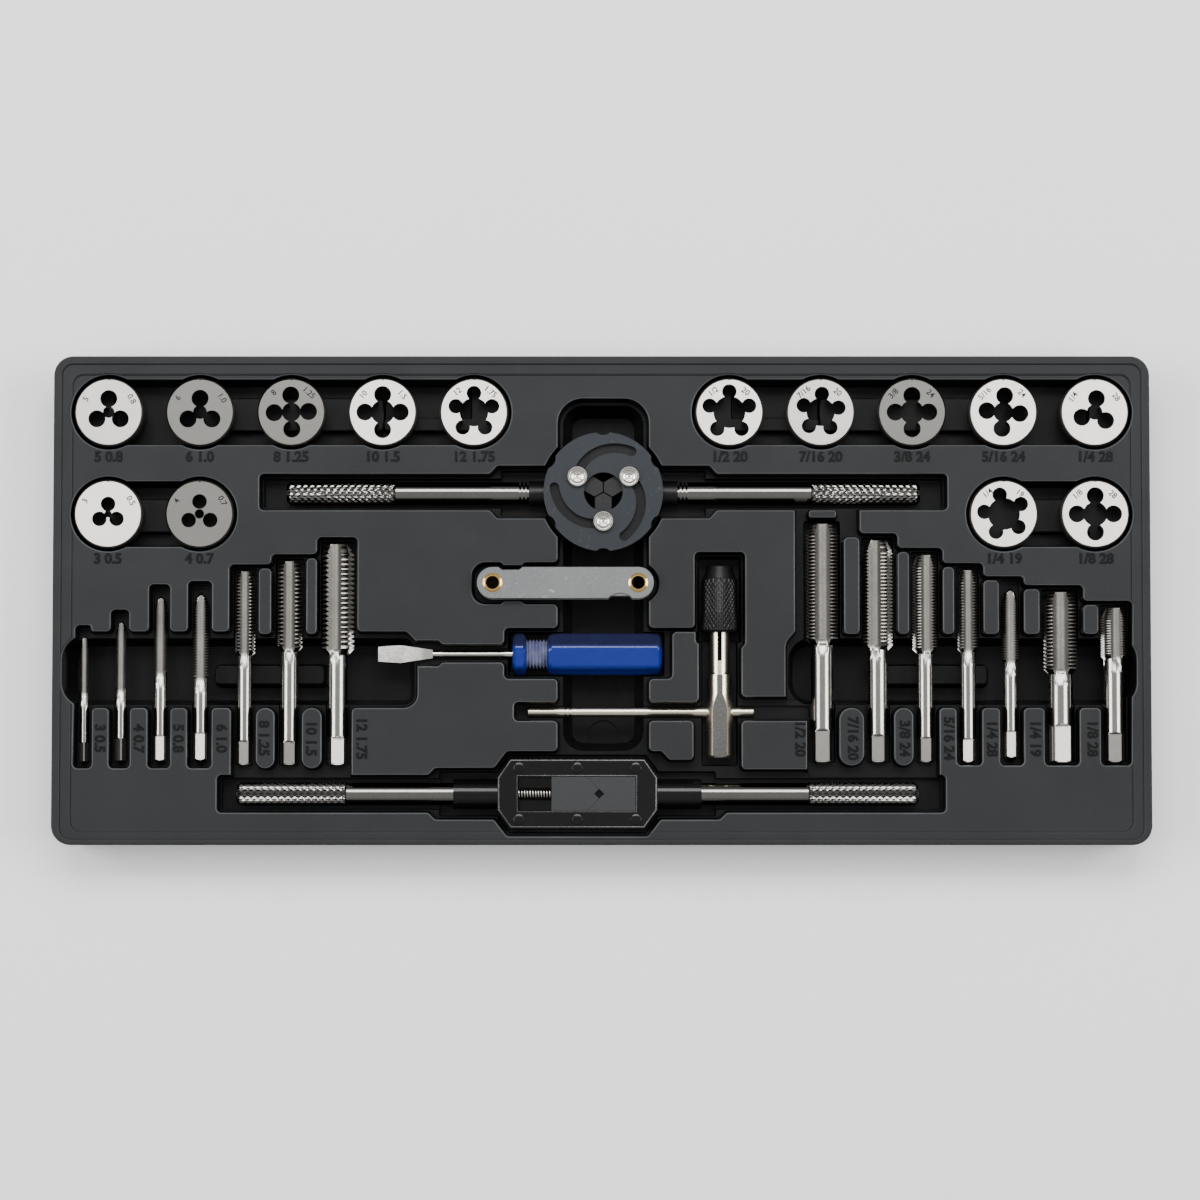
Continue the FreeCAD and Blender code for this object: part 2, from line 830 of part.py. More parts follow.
step_bottom_y = wrench_y - wrench_boss_radius - wrench_step_clear
wrench_far_left = wrench_x - wrench_handle_reach - wrench_end_clear
wrench_far_right = wrench_x + wrench_handle_reach + wrench_right_end_clear


def network():
    """One outline round the die stock, the middle column and every channel that crosses it."""
    points = [
        (column_left, column_top_y, well_end_round),
        (column_right, column_top_y, well_end_round),
        (column_right, stock_y + shoulder_half),
        (stock_x + stock_shoulder_reach, stock_y + shoulder_half),
        (stock_x + shoulder_far, stock_y + stock_half),
        (stock_right, stock_y + stock_half),
        (stock_right, stock_y - stock_half),
        (stock_x + shoulder_far, stock_y - stock_half),
        (stock_x + stock_shoulder_reach, stock_y - shoulder_half),
        (column_right, stock_y - shoulder_half),
        (column_right, driver_y + driver_half),
        (collar_left, driver_y + driver_half),
        (collar_left, collar_top),
        (collar_right, collar_top),
        (collar_right, collar_bottom),
        (t_right, collar_bottom - (collar_right - t_right)),
        (t_right, bar_top + collar_clear),
        (bar_gap_right, bar_top + collar_clear),
        (bar_gap_right, bar_bottom),
        (t_right, bar_bottom),
        (t_right, island_bottom_y),
        (bar_gap_right, island_bottom_y),
        (bar_gap_right, wrench_y + wrench_half),
        (wrench_far_right, wrench_y + wrench_half),
        (wrench_far_right, wrench_y - wrench_half),
        (wrench_right + wrench_step_reach + wrench_step_slope, wrench_y - wrench_half),
        (wrench_right + wrench_step_reach, step_bottom_y),
        (wrench_right + wrench_end_gap, step_bottom_y),
        (wrench_right - wrench_corner_x + wrench_end_gap, body_bottom_y),
        (wrench_left + wrench_corner_x - wrench_end_gap, body_bottom_y),
        (wrench_left - wrench_end_gap, step_bottom_y),
        (wrench_left - wrench_step_reach, step_bottom_y),
        (wrench_left - wrench_step_reach - wrench_step_slope, wrench_y - wrench_half),
        (wrench_far_left, wrench_y - wrench_half),
        (wrench_far_left, wrench_y + wrench_half),
        (wrench_left - wrench_step_reach - wrench_step_slope, wrench_y + wrench_half),
        (wrench_left - wrench_step_reach, step_top_y),
        (wrench_left - wrench_end_gap, step_top_y),
        (wrench_left + wrench_corner_x - wrench_end_gap, body_top_y),
        (column_left, body_top_y),
        (column_left, bar_bottom),
        (bar_left, bar_bottom),
        (bar_left, bar_top),
        (column_left, bar_top),
        (column_left, driver_y - driver_half),
        (driver_left, driver_y - driver_half),
        (driver_left, driver_y - shaft_half),
        (shaft_step_x, driver_y - shaft_half),
        (shaft_step_x - shaft_channel_step, driver_y - shaft_wide),
        (left_well_right_x - shaft_channel_step, driver_y - shaft_wide),
        (left_well_right_x - shaft_channel_step, driver_y + shaft_wide),
        (shaft_step_x - shaft_channel_step, driver_y + shaft_wide),
        (shaft_step_x, driver_y + shaft_half),
        (driver_left, driver_y + shaft_half),
        (driver_left, driver_y + driver_half),
        (column_left, driver_y + driver_half),
        (column_left, gauge_y - gauge_half),
        (grip_right, gauge_y - gauge_half),
        (grip_right - gauge_grip_clear, gauge_y - gauge_grip_half),
        (grip_left, gauge_y - gauge_grip_half),
        (grip_left - gauge_grip_clear, gauge_y - gauge_half),
        (gauge_left, gauge_y - gauge_half, gauge_half),
        (gauge_left, gauge_y + gauge_half, gauge_half),
        (grip_left - gauge_grip_clear, gauge_y + gauge_half),
        (grip_left, gauge_y + gauge_grip_half),
        (grip_right - gauge_grip_clear, gauge_y + gauge_grip_half),
        (grip_right, gauge_y + gauge_half),
        (column_left, gauge_y + gauge_half),
        (column_left, stock_y - shoulder_half),
        (stock_x - stock_shoulder_reach, stock_y - shoulder_half),
        (stock_x - shoulder_far, stock_y - stock_half),
        (stock_left, stock_y - stock_half),
        (stock_left, stock_y + stock_half),
        (stock_x - shoulder_far, stock_y + stock_half),
        (stock_x - stock_shoulder_reach, stock_y + shoulder_half),
        (column_left, stock_y + shoulder_half),
    ]
    return points


def network_islands():
    """Two islands of deck right of the column, above and below the sliding bar's channel."""
    upper = [
        (driver_right + collar_clear, driver_y + driver_half - island_gap),
        (t_left, driver_y + driver_half - island_gap),
        (t_left, bar_top),
        (column_right, bar_top),
        (column_right, driver_y - driver_half),
        (driver_right + collar_clear, driver_y - driver_half),
    ]
    lower = [
        (column_right, bar_bottom),
        (t_left - collar_clear, bar_bottom),
        (t_left - collar_clear, step_top_y + wrench_body_clear),
        (column_right + island_notch, step_top_y + wrench_body_clear),
        (column_right + island_notch - wrench_body_clear, body_top_y),
        (column_right, body_top_y),
    ]
    return [upper, lower]


def round_hollow(x, y, radius, depth, top=deck_z):
    """Round pocket with a drafted wall and a rounded mouth."""
    floor_radius = radius - depth * math.tan(math.radians(pocket_draft))
    eighth = edge_round * (1 - math.cos(math.radians(45)))
    profile = [
        (top - depth, 0),
        (top - depth, floor_radius),
        (top - edge_round, radius),
        (top - eighth, radius + eighth),
        (top, radius + edge_round),
        (top + cut_over, radius + edge_round),
        (top + cut_over, 0),
    ]
    return turned(profile, Vector(x, y, 0), AXIS_Z)


def round_shell(x, y, radius, depth, top=deck_z):
    """Moulded wall and floor round a round pocket, before its hollow is cut."""
    slope = math.tan(math.radians(pocket_draft))
    profile = [
        (top - depth - tray_wall, 0),
        (top - depth - tray_wall, radius + tray_wall - (depth + tray_wall) * slope),
        (top - face_gap, radius + tray_wall),
        (top - face_gap, 0),
    ]
    return turned(profile, Vector(x, y, 0), AXIS_Z)


def tray_body():
    """Rim, side walls and deck, open underneath."""
    half_x = tray_length / 2
    half_y = tray_width / 2
    slope = math.tan(math.radians(side_draft))
    corners = rectangle(-half_x, -half_y, half_x, half_y)
    outer_wires = [
        rounded_wire(corners, tray_corner, -tray_height * slope, 0),
        rounded_wire(corners, tray_corner, -edge_round * slope, tray_height - edge_round),
        rounded_wire(corners, tray_corner, -edge_round, tray_height),
    ]
    body = Part.makeLoft(outer_wires, True, True)
    inner_wires = [
        rounded_wire(corners, tray_corner, -tray_wall - tray_height * slope, -cut_over),
        rounded_wire(corners, tray_corner, -tray_wall - tray_wall * slope, deck_z - tray_wall),
    ]
    body = body.cut(Part.makeLoft(inner_wires, True, True))
    ledge = rectangle(-half_x + lip_width, -half_y + front_lip_width, half_x - lip_width, half_y - lip_width)
    body = body.cut(sunk(ledge, lip_drop, 0, tray_corner - lip_width, tray_height))
    inset = lip_width + ledge_width
    front = -half_y + front_lip_width + front_ledge_width
    deck = rectangle(-half_x + inset, front, half_x - inset, half_y - inset)
    deck_round = tray_corner - lip_width
    return body.cut(sunk(deck, ledge_drop, 0, deck_round, tray_height - lip_drop))


def die_slots():
    """Finger slots along the rows of dies, with the low ridge that the dies lie on left standing."""
    half = die_slot_width / 2
    wide = die_ridge_width / 2
    ridge_depth = die_height - die_rise + rest_gap + ridge_drop
    hollows = []
    for side in (-1, 1):
        inner, row_y = die_place(side, 0)
        second = die_place(2 * side, 0)[0]
        fourth = die_place(4 * side, 0)[0]
        outer = die_place(5 * side, 0)[0]
        outline = rectangle(min(inner, outer), row_y - half, max(inner, outer), row_y + half)
        slot = sunk(outline, die_slot_depth)
        start = fourth - side * (die_radius - die_slot_bite)
        ridge = rectangle(min(start, second), row_y - wide, max(start, second), row_y + wide)
        low = rectangle(min(inner - side * die_radius, second), row_y - wide,
                        max(inner - side * die_radius, second), row_y - wide + die_ridge_low_width)
        for outline in (ridge, low):
            slot = slot.cut(raised(outline, die_slot_depth + face_gap - ridge_depth,
                                   top=deck_z - ridge_depth))
        hollows.append(slot)
        near, row_y = die_place(4 * side, 1)
        far = die_place(5 * side, 1)[0]
        slot = sunk(rectangle(min(near, far), row_y - half, max(near, far), row_y + half), die_slot_depth)
        ridge = rectangle(min(near, far) - die_radius, row_y - wide,
                          max(near, far) + die_radius, row_y + wide)
        slot = slot.cut(raised(ridge, die_slot_depth + face_gap - ridge_depth, top=deck_z - ridge_depth))
        hollows.append(slot)
    return hollows


def die_slot_shells():
    """Walls round the finger slots."""
    half = die_slot_width / 2
    walls = []
    for side in (-1, 1):
        for first, last, row in ((1, 5, 0), (4, 5, 1)):
            here, row_y = die_place(first * side, row)
            there = die_place(last * side, row)[0]
            outline = rectangle(min(here, there), row_y - half, max(here, there), row_y + half)
            walls.append(shell(outline, die_slot_depth))
    return walls


def deep_pockets():
    """Every deeper pocket as its outline, depth, draft and rounding."""
    inset = trough_inset
    left_end = left_columns[0]["x"] - left_columns[0]["lower"] - well_end_reach
    right_end = right_columns[-1]["x"] + right_columns[-1]["lower"] + well_end_reach / 2
    well_top = island_y - inset
    well_bottom = lower_tongue_y + inset
    left_well = [
        (left_end, well_bottom, well_end_round),
        (left_well_right_x - inset, well_bottom, well_round),
        (left_well_right_x - inset, well_top, well_round),
        (left_end, well_top, well_end_round),
    ]
    right_well = [
        (right_well_left_x + inset, well_bottom, well_end_round),
        (right_end, well_bottom, well_end_round),
        (right_end, well_top, well_end_round),
        (right_well_left_x + inset, well_top, well_end_round),
    ]
    pockets = [
        (left_well, well_depth, well_draft, well_round),
        (right_well, well_depth, well_draft, well_round),
    ]
    for outline, depth in troughs(left_columns) + troughs(right_columns):
        pockets.append((outline, depth, pocket_draft, corner_round))
    column = rectangle(column_left + inset, column_bottom_y, column_right - inset, column_top_y - inset)
    pockets.append((column, well_depth, column_draft, well_end_round))
    stock_channel = rectangle(stock_left + inset, stock_y - stock_half + inset,
                              stock_right - inset, stock_y + stock_half - inset)
    pockets.append((stock_channel, stock_floor, pocket_draft, corner_round))
    shoulder = rectangle(stock_x - stock_shoulder_reach + inset, stock_y - shoulder_half + inset,
                         stock_x + stock_shoulder_reach - inset, stock_y + shoulder_half - inset)
    pockets.append((shoulder, stock_floor + ridge_drop, pocket_draft, corner_round))
    grip = rectangle(driver_left + inset, driver_y - driver_half + inset,
                     driver_right, driver_y + driver_half - inset)
    pockets.append((grip, driver_floor, pocket_draft, corner_round))
    narrow = shaft_half - inset
    wide = shaft_wide - inset
    shaft = [
        (left_well_right_x - trough_reach, driver_y - wide),
        (shaft_step_x - shaft_channel_step, driver_y - wide),
        (shaft_step_x, driver_y - narrow),
        (driver_left + driver_end_clear, driver_y - narrow),
        (driver_left + driver_end_clear, driver_y + narrow),
        (shaft_step_x, driver_y + narrow),
        (shaft_step_x - shaft_channel_step, driver_y + wide),
        (left_well_right_x - trough_reach, driver_y + wide),
    ]
    pockets.append((shaft, shaft_floor, pocket_draft, corner_round))
    collar = rectangle(collar_left + inset, collar_bottom, collar_right - inset, collar_top - inset)
    pockets.append((collar, collar_floor, pocket_draft, corner_round))
    body = rectangle(t_left + inset, step_top_y, t_right - inset, collar_bottom + collar_end_clear)
    pockets.append((body, t_floor, pocket_draft, corner_round))
    bar = rectangle(bar_left + inset, bar_bottom + inset, bar_gap_right, bar_top - inset)
    pockets.append((bar, bar_floor, pocket_draft, corner_round))
    long_channel = rectangle(wrench_far_left + inset, wrench_y - wrench_half + inset,
                             wrench_far_right - inset, wrench_y + wrench_half - inset)
    pockets.append((long_channel, wrench_floor, pocket_draft, corner_round))
    middle = rectangle(wrench_left - wrench_step_reach + inset, step_bottom_y + inset,
                       wrench_right + wrench_step_reach - inset, step_top_y - inset)
    pockets.append((middle, body_floor, pocket_draft, corner_round))
    body_bay = offset_points([
        (wrench_left + wrench_corner_x - wrench_end_gap, body_bottom_y),
        (wrench_right - wrench_corner_x + wrench_end_gap, body_bottom_y),
        (wrench_right + wrench_end_gap, step_bottom_y),
        (wrench_right + wrench_end_gap, step_top_y),
        (wrench_right - wrench_corner_x + wrench_end_gap, body_top_y),
        (wrench_left + wrench_corner_x - wrench_end_gap, body_top_y),
        (wrench_left - wrench_end_gap, step_top_y),
        (wrench_left - wrench_end_gap, step_bottom_y),
    ], -inset)
    pockets.append((body_bay, body_floor + ridge_drop, pocket_draft, corner_round))
    half = gauge_half - inset
    gauge_bay = rectangle(grip_right, gauge_y - half, gauge_right, gauge_y + half, half - face_gap)
    pockets.append((gauge_bay, gauge_floor + ridge_drop, pocket_draft, half - face_gap))
    return pockets


def tool_tray():
    """Thin moulded tray: rim, deck, and a wall round every pocket."""
    body = tray_body()
    die_depth = die_height - die_rise + rest_gap
    die_pocket = die_radius + die_clear
    ring_pocket = plate_radius + ring_clear
    ring_floor = stock_depth + stock_ring_below + rest_gap
    places = [die_place(die[5], die[6]) for die in dies]
    walls = [shell(left_bank(), bank_depth), shell(right_bank(), bank_depth), shell(network(), gauge_floor)]
    walls.extend(die_slot_shells())
    walls.extend(round_shell(x, y, die_pocket, die_depth) for x, y in places)
    walls.append(round_shell(stock_x, stock_y, ring_pocket, ring_floor))
    for outline, depth, draft, rounding in deep_pockets():
        walls.append(shell(outline, depth, draft, rounding))
    body = body.fuse(walls)

    left_hollow = sunk(left_bank(), bank_depth)
    left_open = [(left_columns[4], left_columns[5]), (left_columns[5], left_columns[6])]
    for outline in bank_islands(left_columns, 4, left_open):
        left_hollow = left_hollow.cut(raised(outline, bank_depth + face_gap))
    right_hollow = sunk(right_bank(), bank_depth)
    right_open = [(right_columns[0], right_columns[1]), (right_columns[1], right_columns[2])]
    islands = bank_islands(right_columns, 0, right_open)
    bridge_x = right_columns[0]["x"]
    islands.append(rectangle(bridge_x - bridge_width / 2, bridge_bottom_y,
                             bridge_x + bridge_width / 2, bridge_top_y))
    for outline in islands:
        right_hollow = right_hollow.cut(raised(outline, bank_depth + face_gap))
    middle_hollow = sunk(network(), gauge_floor)
    for outline in network_islands():
        middle_hollow = middle_hollow.cut(raised(outline, gauge_floor + face_gap))
    hollows = [left_hollow, right_hollow, middle_hollow]
    hollows.extend(die_slots())
    hollows.extend(round_hollow(x, y, die_pocket, die_depth) for x, y in places)
    hollows.append(round_hollow(stock_x, stock_y, ring_pocket, ring_floor))
    for outline, depth, draft, rounding in deep_pockets():
        hollows.append(sunk(outline, depth, draft, rounding))
    floor_z = deck_z - well_depth
    for step in (0, 1):
        pit = Vector(stock_x, pit_y - step * pit_step, floor_z - pit_drop)
        hollows.append(cylinder(pit_radius, pit_drop + cut_over, pit, AXIS_Z))
    body = body.cut(hollows)

    for side in (-1, 1):
        x = side * shelf_centre_x
        outline = rectangle(x - shelf_width / 2, shelf_centre_y - shelf_depth / 2,
                            x + shelf_width / 2, shelf_centre_y + shelf_depth / 2)
        body = body.fuse(raised(outline, shelf_height + face_gap, top=floor_z + shelf_height))
    save("tool_tray", [body])


# Taps

def tap_piece(entry, x, foot_y):
    """Tap lying along Y, thread to the rear: fluted thread, round shank and square end."""
    name, thread, length, threaded, shank, square, flutes, pointed = entry
    thread_radius = thread / 2
    shank_radius = shank / 2
    lead_radius = thread_radius * tap_lead_share
    half_square = shank_radius * tap_square_share
    neck = abs(thread_radius - shank_radius)
    point = lead_radius if pointed else 0
    profile = [(0, 0)]
    if pointed:
        profile.append((half_square, shank_radius))
    else:
        profile.append((0, shank_radius - tap_square_break))
        profile.append((tap_square_break, shank_radius))
    profile.append((length - threaded - neck, shank_radius))
    profile.append((length - threaded, thread_radius))
    profile.append((length - tap_lead_length - point, thread_radius))
    profile.append((length - point, lead_radius))
    profile.append((length, 0))
    base = Vector(x, foot_y, deck_z - tap_depth)
    solid = turned(profile, base, AXIS_Y)
    web = thread_radius * tap_web_share
    flute_radius = (thread_radius - web) * (tap_lead_share if flutes == 4 else 1)
    flute_from = length - threaded - neck
    reach = web + flute_radius
    grooves = []
    for index in range(flutes):
        angle = math.radians(90 + 360 * index / flutes)
        centre = base + Vector(reach * math.cos(angle), flute_from, reach * math.sin(angle))
        run_out = [(-flute_radius, 0), (0, flute_radius), (length, flute_radius), (length, 0)]
        grooves.append(turned(run_out, centre, AXIS_Y))
    solid = solid.cut(grooves)
    flats = box(2 * half_square, square, 2 * half_square, x, foot_y + square / 2, base.z - half_square)
    rest = box(2 * thread, length, 2 * thread, x, foot_y + square + length / 2, base.z - thread)
    save(name, [solid.common(flats.fuse(rest))])


# Dies

def die_piece(entry):
    """Round die: thread bore, clearance holes that open into it, and a notch at the rear."""
    name, bore, circle, hole, holes, column, row, turn = entry
    x, y = die_place(column, row)
    bottom = deck_z + die_rise - die_height
    profile = [
        (0, 0),
        (0, die_radius - die_edge),
        (die_edge, die_radius),
        (die_height - die_edge, die_radius),
        (die_height, die_radius - die_edge),
        (die_height, 0),
    ]
    solid = turned(profile, Vector(x, y, bottom), AXIS_Z)
    through = die_height + 2 * cut_over
    start = bottom - cut_over
    cuts = [cylinder(bore, through, Vector(x, y, start), AXIS_Z)]
    for index in range(holes):
        angle = math.radians(90 + turn + 360 * index / holes)
        centre = Vector(x + circle * math.cos(angle), y + circle * math.sin(angle), start)
        cuts.append(cylinder(hole, through, centre, AXIS_Z))
    notch_half = die_notch_depth + cut_over
    notch = [
        (x, y + die_radius - die_notch_depth),
        (x + notch_half, y + die_radius + cut_over),
        (x - notch_half, y + die_radius + cut_over),
    ]
    cuts.append(plate(notch, through, start))
    save(name, [solid.cut(cuts)])


# Die stock

stock_z = deck_z - stock_depth
stock_bottom = stock_z - stock_ring_below
groove_floor = stock_bottom + die_height + stock_web
stock_top = groove_floor + stock_groove_depth
plate_bottom = stock_top + running_gap
plate_top = plate_bottom + plate_thickness
stock_axis = Vector(stock_x, stock_y, stock_z)
guide_angles = (150, 30, -90)


def spun(shape, angle):
    """Copy turned about the die stock's upright axis."""
    copy = shape.copy()
    copy.rotate(stock_axis, AXIS_Z, angle)
    return copy


def clamp_screw_angles():
    """Bearings of the screws round the ring."""
    return [45 + 360 * index / clamp_screw_count for index in range(clamp_screw_count)]


def stock_body():
    """Ring that holds a die from below, with a boss at each side and three grooves for the guides."""
    base = Vector(stock_x, stock_y, stock_bottom)
    ring = cylinder(stock_ring_radius, stock_top - stock_bottom, base, AXIS_Z)
    boss_start = Vector(stock_x - stock_boss_reach, stock_y, stock_z)
    body = ring.fuse(cylinder(stock_boss_radius, 2 * stock_boss_reach, boss_start, AXIS_X))
    under = base - AXIS_Z * cut_over
    cuts = [
        cylinder(die_radius + running_gap, die_height + cut_over, under, AXIS_Z),
        cylinder(stock_eye_radius, stock_top, under, AXIS_Z),
    ]
    groove_length = stock_ring_radius + cut_over
    groove = box(groove_length, guide_width + 2 * running_gap, stock_groove_depth + cut_over,
                 stock_x + groove_length / 2, stock_y, groove_floor)
    cuts.extend(spun(groove, angle) for angle in guide_angles)
    for side in (-1, 1):
        start = stock_axis + AXIS_X * side * (stock_boss_reach - stock_stud_length)
        stud = cylinder(stock_stud_radius + face_gap, stock_stud_length + cut_over, start, AXIS_X * side)
        cuts.append(stud)
    hole_start = Vector(stock_x + clamp_screw_radius, stock_y, stock_z - clamp_screw_radius)
    hole = cylinder(clamp_screw_radius + face_gap, groove_length, hole_start, AXIS_X)
    cuts.extend(spun(hole, angle) for angle in clamp_screw_angles())
    save("stock_body", [body.cut(cuts)])


def stock_clamp_screws():
    """Slotted screws that pass through the ring's wall towards the die."""
    level = stock_z - clamp_screw_radius
    start = Vector(stock_x + stock_ring_radius - face_gap - clamp_screw_length, stock_y, level)
    screw = cylinder(clamp_screw_radius, clamp_screw_length, start, AXIS_X)
    slot = box(clamp_screw_radius, clamp_screw_radius / 3, 3 * clamp_screw_radius,
               stock_x + stock_ring_radius, stock_y, level - 3 * clamp_screw_radius / 2)
    screw = screw.cut(slot)
    save("stock_clamp_screws", [spun(screw, angle) for angle in clamp_screw_angles()])


def cam_slot(angle):
    """Spiral slot through the plate: a guide pin's path as the plate turns, with round ends."""
    half = cam_slot_width / 2
    sweep = math.radians(cam_sweep)
    rate = cam_travel / sweep
    inner = []
    outer = []
    centres = []
    tangents = []
    for index in range(cam_pieces + 1):
        turn = sweep * index / cam_pieces
        radius = cam_start + rate * turn
        bearing = math.radians(angle) - turn
        centre = Vector(radius * math.cos(bearing), radius * math.sin(bearing), 0)
        tangent = Vector(rate * math.cos(bearing) + radius * math.sin(bearing),
                         rate * math.sin(bearing) - radius * math.cos(bearing), 0)
        tangent.normalize()
        normal = Vector(-tangent.y, tangent.x, 0)
        inner.append(centre - normal * half)
        outer.append(centre + normal * half)
        centres.append(centre)
        tangents.append(tangent)
    far_side = Part.BSplineCurve()
    far_side.interpolate(outer)
    near_side = Part.BSplineCurve()
    near_side.interpolate(inner)
    last_cap = centres[-1] + tangents[-1] * half
    first_cap = centres[0] - tangents[0] * half
    edges = [
        far_side.toShape(),
        Part.Arc(outer[-1], last_cap, inner[-1]).toShape(),
        near_side.toShape(),
        Part.Arc(inner[0], first_cap, outer[0]).toShape(),
    ]
    slot = Part.Face(Part.Wire(edges)).extrude(Vector(0, 0, plate_thickness + 2 * cut_over))
    slot.translate(Vector(stock_x, stock_y, plate_bottom - cut_over))
    return slot


def stock_guide_plate():
    """Notched plate over the guides, with a skirt round the ring and three spiral slots."""
    base = Vector(stock_x, stock_y, plate_bottom - plate_skirt_height)
    under = base - AXIS_Z * cut_over
    body = cylinder(plate_radius, plate_thickness + plate_skirt_height, base, AXIS_Z)
    cuts = [
        cylinder(stock_ring_radius + running_gap, plate_skirt_height + cut_over, under, AXIS_Z),
        cylinder(stock_eye_radius, plate_top, under, AXIS_Z),
    ]
    reach = plate_radius + plate_notch_radius - plate_notch_depth
    for index in range(plate_notch_count):
        angle = math.radians(90 + 360 * index / plate_notch_count)
        centre = under + Vector(reach * math.cos(angle), reach * math.sin(angle), 0)
        cuts.append(cylinder(plate_notch_radius, plate_top, centre, AXIS_Z))
    cuts.extend(cam_slot(angle) for angle in guide_angles)
    save("stock_guide_plate", [body.cut(cuts)])


def stock_guides():
    """Three guides that meet at the middle, each with a dished screw that runs in its spiral slot."""
    half = guide_width / 2
    lean = half / math.tan(math.radians(60))
    bottom = groove_floor + face_gap
    head_base = plate_top + face_gap
    tip = stock_x + guide_tip
    end = stock_x + guide_length
    points = [
        (tip, stock_y),
        (tip + lean, stock_y - half),
        (end, stock_y - half),
        (end, stock_y + half),
        (tip + lean, stock_y + half),
    ]
    screw_base = Vector(stock_x + cam_start, stock_y, bottom)
    hole = cylinder(guide_screw_radius + face_gap, guide_thickness + 2 * cut_over,
                    screw_base - AXIS_Z * cut_over, AXIS_Z)
    guide = plate(points, guide_thickness, bottom).cut(hole)
    edge = guide_head_height / 4
    head = [
        (0, 0),
        (0, guide_head_radius),
        (guide_head_height - edge, guide_head_radius),
        (guide_head_height, guide_head_radius - edge),
        (guide_head_height, guide_head_dish),
        (guide_head_height - guide_head_dish / 2, 0),
    ]
    shank = cylinder(guide_screw_radius, head_base - bottom, screw_base, AXIS_Z)
    screw = shank.fuse(turned(head, Vector(screw_base.x, stock_y, head_base), AXIS_Z))
    for index, angle in enumerate(guide_angles):
        save("guide_jaw_" + str(index + 1), [spun(guide, angle)])
        save("guide_screw_" + str(index + 1), [spun(screw, angle)])


def grip_profile(start, end, rod_radius, knurl_length, knurl_radius, edge):
    """Plain rod with a knurled grip at its far end, as points along the axis."""
    return [
        (start, rod_radius),
        (end - knurl_length, rod_radius),
        (end - knurl_length, knurl_radius),
        (end - edge, knurl_radius),
        (end, knurl_radius - edge),
        (end, 0),
    ]


def stock_handles():
    """Two handles screwed into the ring's bosses, each with a grooved collar."""
    stud_end = stock_boss_reach - stock_stud_length + face_gap
    start = stock_boss_reach + face_gap
    profile = [(stud_end, 0), (stud_end, stock_stud_radius), (start, stock_stud_radius)]
    for radius in (stock_collar_radius, stock_rod_radius, stock_collar_radius):
        profile.append((start, radius))
        start = start + stock_collar_rib
        profile.append((start, radius))
    profile.extend(grip_profile(start, stock_handle_end, stock_rod_radius, stock_knurl_length,
                                stock_knurl_radius, stock_handle_edge))
    save("stock_handle_left", [turned(profile, stock_axis, AXIS_X * -1)])
    save("stock_handle_right", [turned(profile, stock_axis, AXIS_X)])


# Bar tap wrench

wrench_axis = Vector(wrench_x, wrench_y, deck_z - wrench_depth)
wrench_bottom = wrench_axis.z - wrench_body_thickness / 2
cover_top = wrench_axis.z + wrench_body_thickness / 2
cover_bottom = cover_top - wrench_cover_thickness
window_x = wrench_x + wrench_window_offset
window_left = window_x - wrench_window_length / 2
window_right = window_x + wrench_window_length / 2
track_half = wrench_window_width / 2 + wrench_track_extra
track_left = window_left - wrench_track_end
track_right = window_right + wrench_track_end


def wrench_outline():
    """Eight-sided outline of the wrench's body and its cover."""
    half = wrench_body_width / 2
    side = half - wrench_corner_y
    left = wrench_left + wrench_corner_x
    right = wrench_right - wrench_corner_x
    return [
        (left, wrench_y - half),
        (right, wrench_y - half),
        (wrench_right, wrench_y - side),
        (wrench_right, wrench_y + side),
        (right, wrench_y + half),
        (left, wrench_y + half),
        (wrench_left, wrench_y + side),
        (wrench_left, wrench_y - side),
    ]


def rivet_holes(radius, length, bottom):
    """Six upright bars where the rivets pass, three along each long side."""
    bars = []
    for column in (-1, 0, 1):
        for row in (-1, 1):
            place = Vector(wrench_x + column * wrench_rivet_spacing,
                           wrench_y + row * wrench_rivet_rows / 2, bottom)
            bars.append(cylinder(radius, length, place, AXIS_Z))
    return bars


def wrench_body():
    """Lower body with the jaws' track, and the two bored bosses that carry the handles."""
    body = plate(wrench_outline(), cover_bottom - wrench_bottom, wrench_bottom)
    reach = wrench_body_length / 2 + wrench_boss_length
    boss_start = wrench_axis - AXIS_X * reach
    bosses = cylinder(wrench_boss_radius, 2 * reach, boss_start, AXIS_X)
    hull = box(wrench_body_length, wrench_body_width, 2 * wrench_body_thickness,
               wrench_x, wrench_y, cover_bottom)
    body = body.fuse(bosses).cut(hull)
    track = box(track_right - track_left, 2 * track_half, wrench_body_thickness,
                (track_left + track_right) / 2, wrench_y, wrench_bottom + wrench_web)
    cuts = [track]
    for side in (-1, 1):
        start = wrench_axis + AXIS_X * side * wrench_body_length / 2
        cuts.append(cylinder(wrench_boss_bore, wrench_boss_length + cut_over, start, AXIS_X * side))
    spindle_hole = Vector(wrench_left - cut_over, wrench_y, wrench_axis.z)
    hole_radius = wrench_spindle_radius + running_gap
    cuts.append(cylinder(hole_radius, wrench_window_length / 2, spindle_hole, AXIS_X))
    cuts.extend(rivet_holes(wrench_rivet_shank + face_gap, wrench_rivet_length,
                            cover_top - wrench_rivet_length))
    save("wrench_body", [body.cut(cuts)])


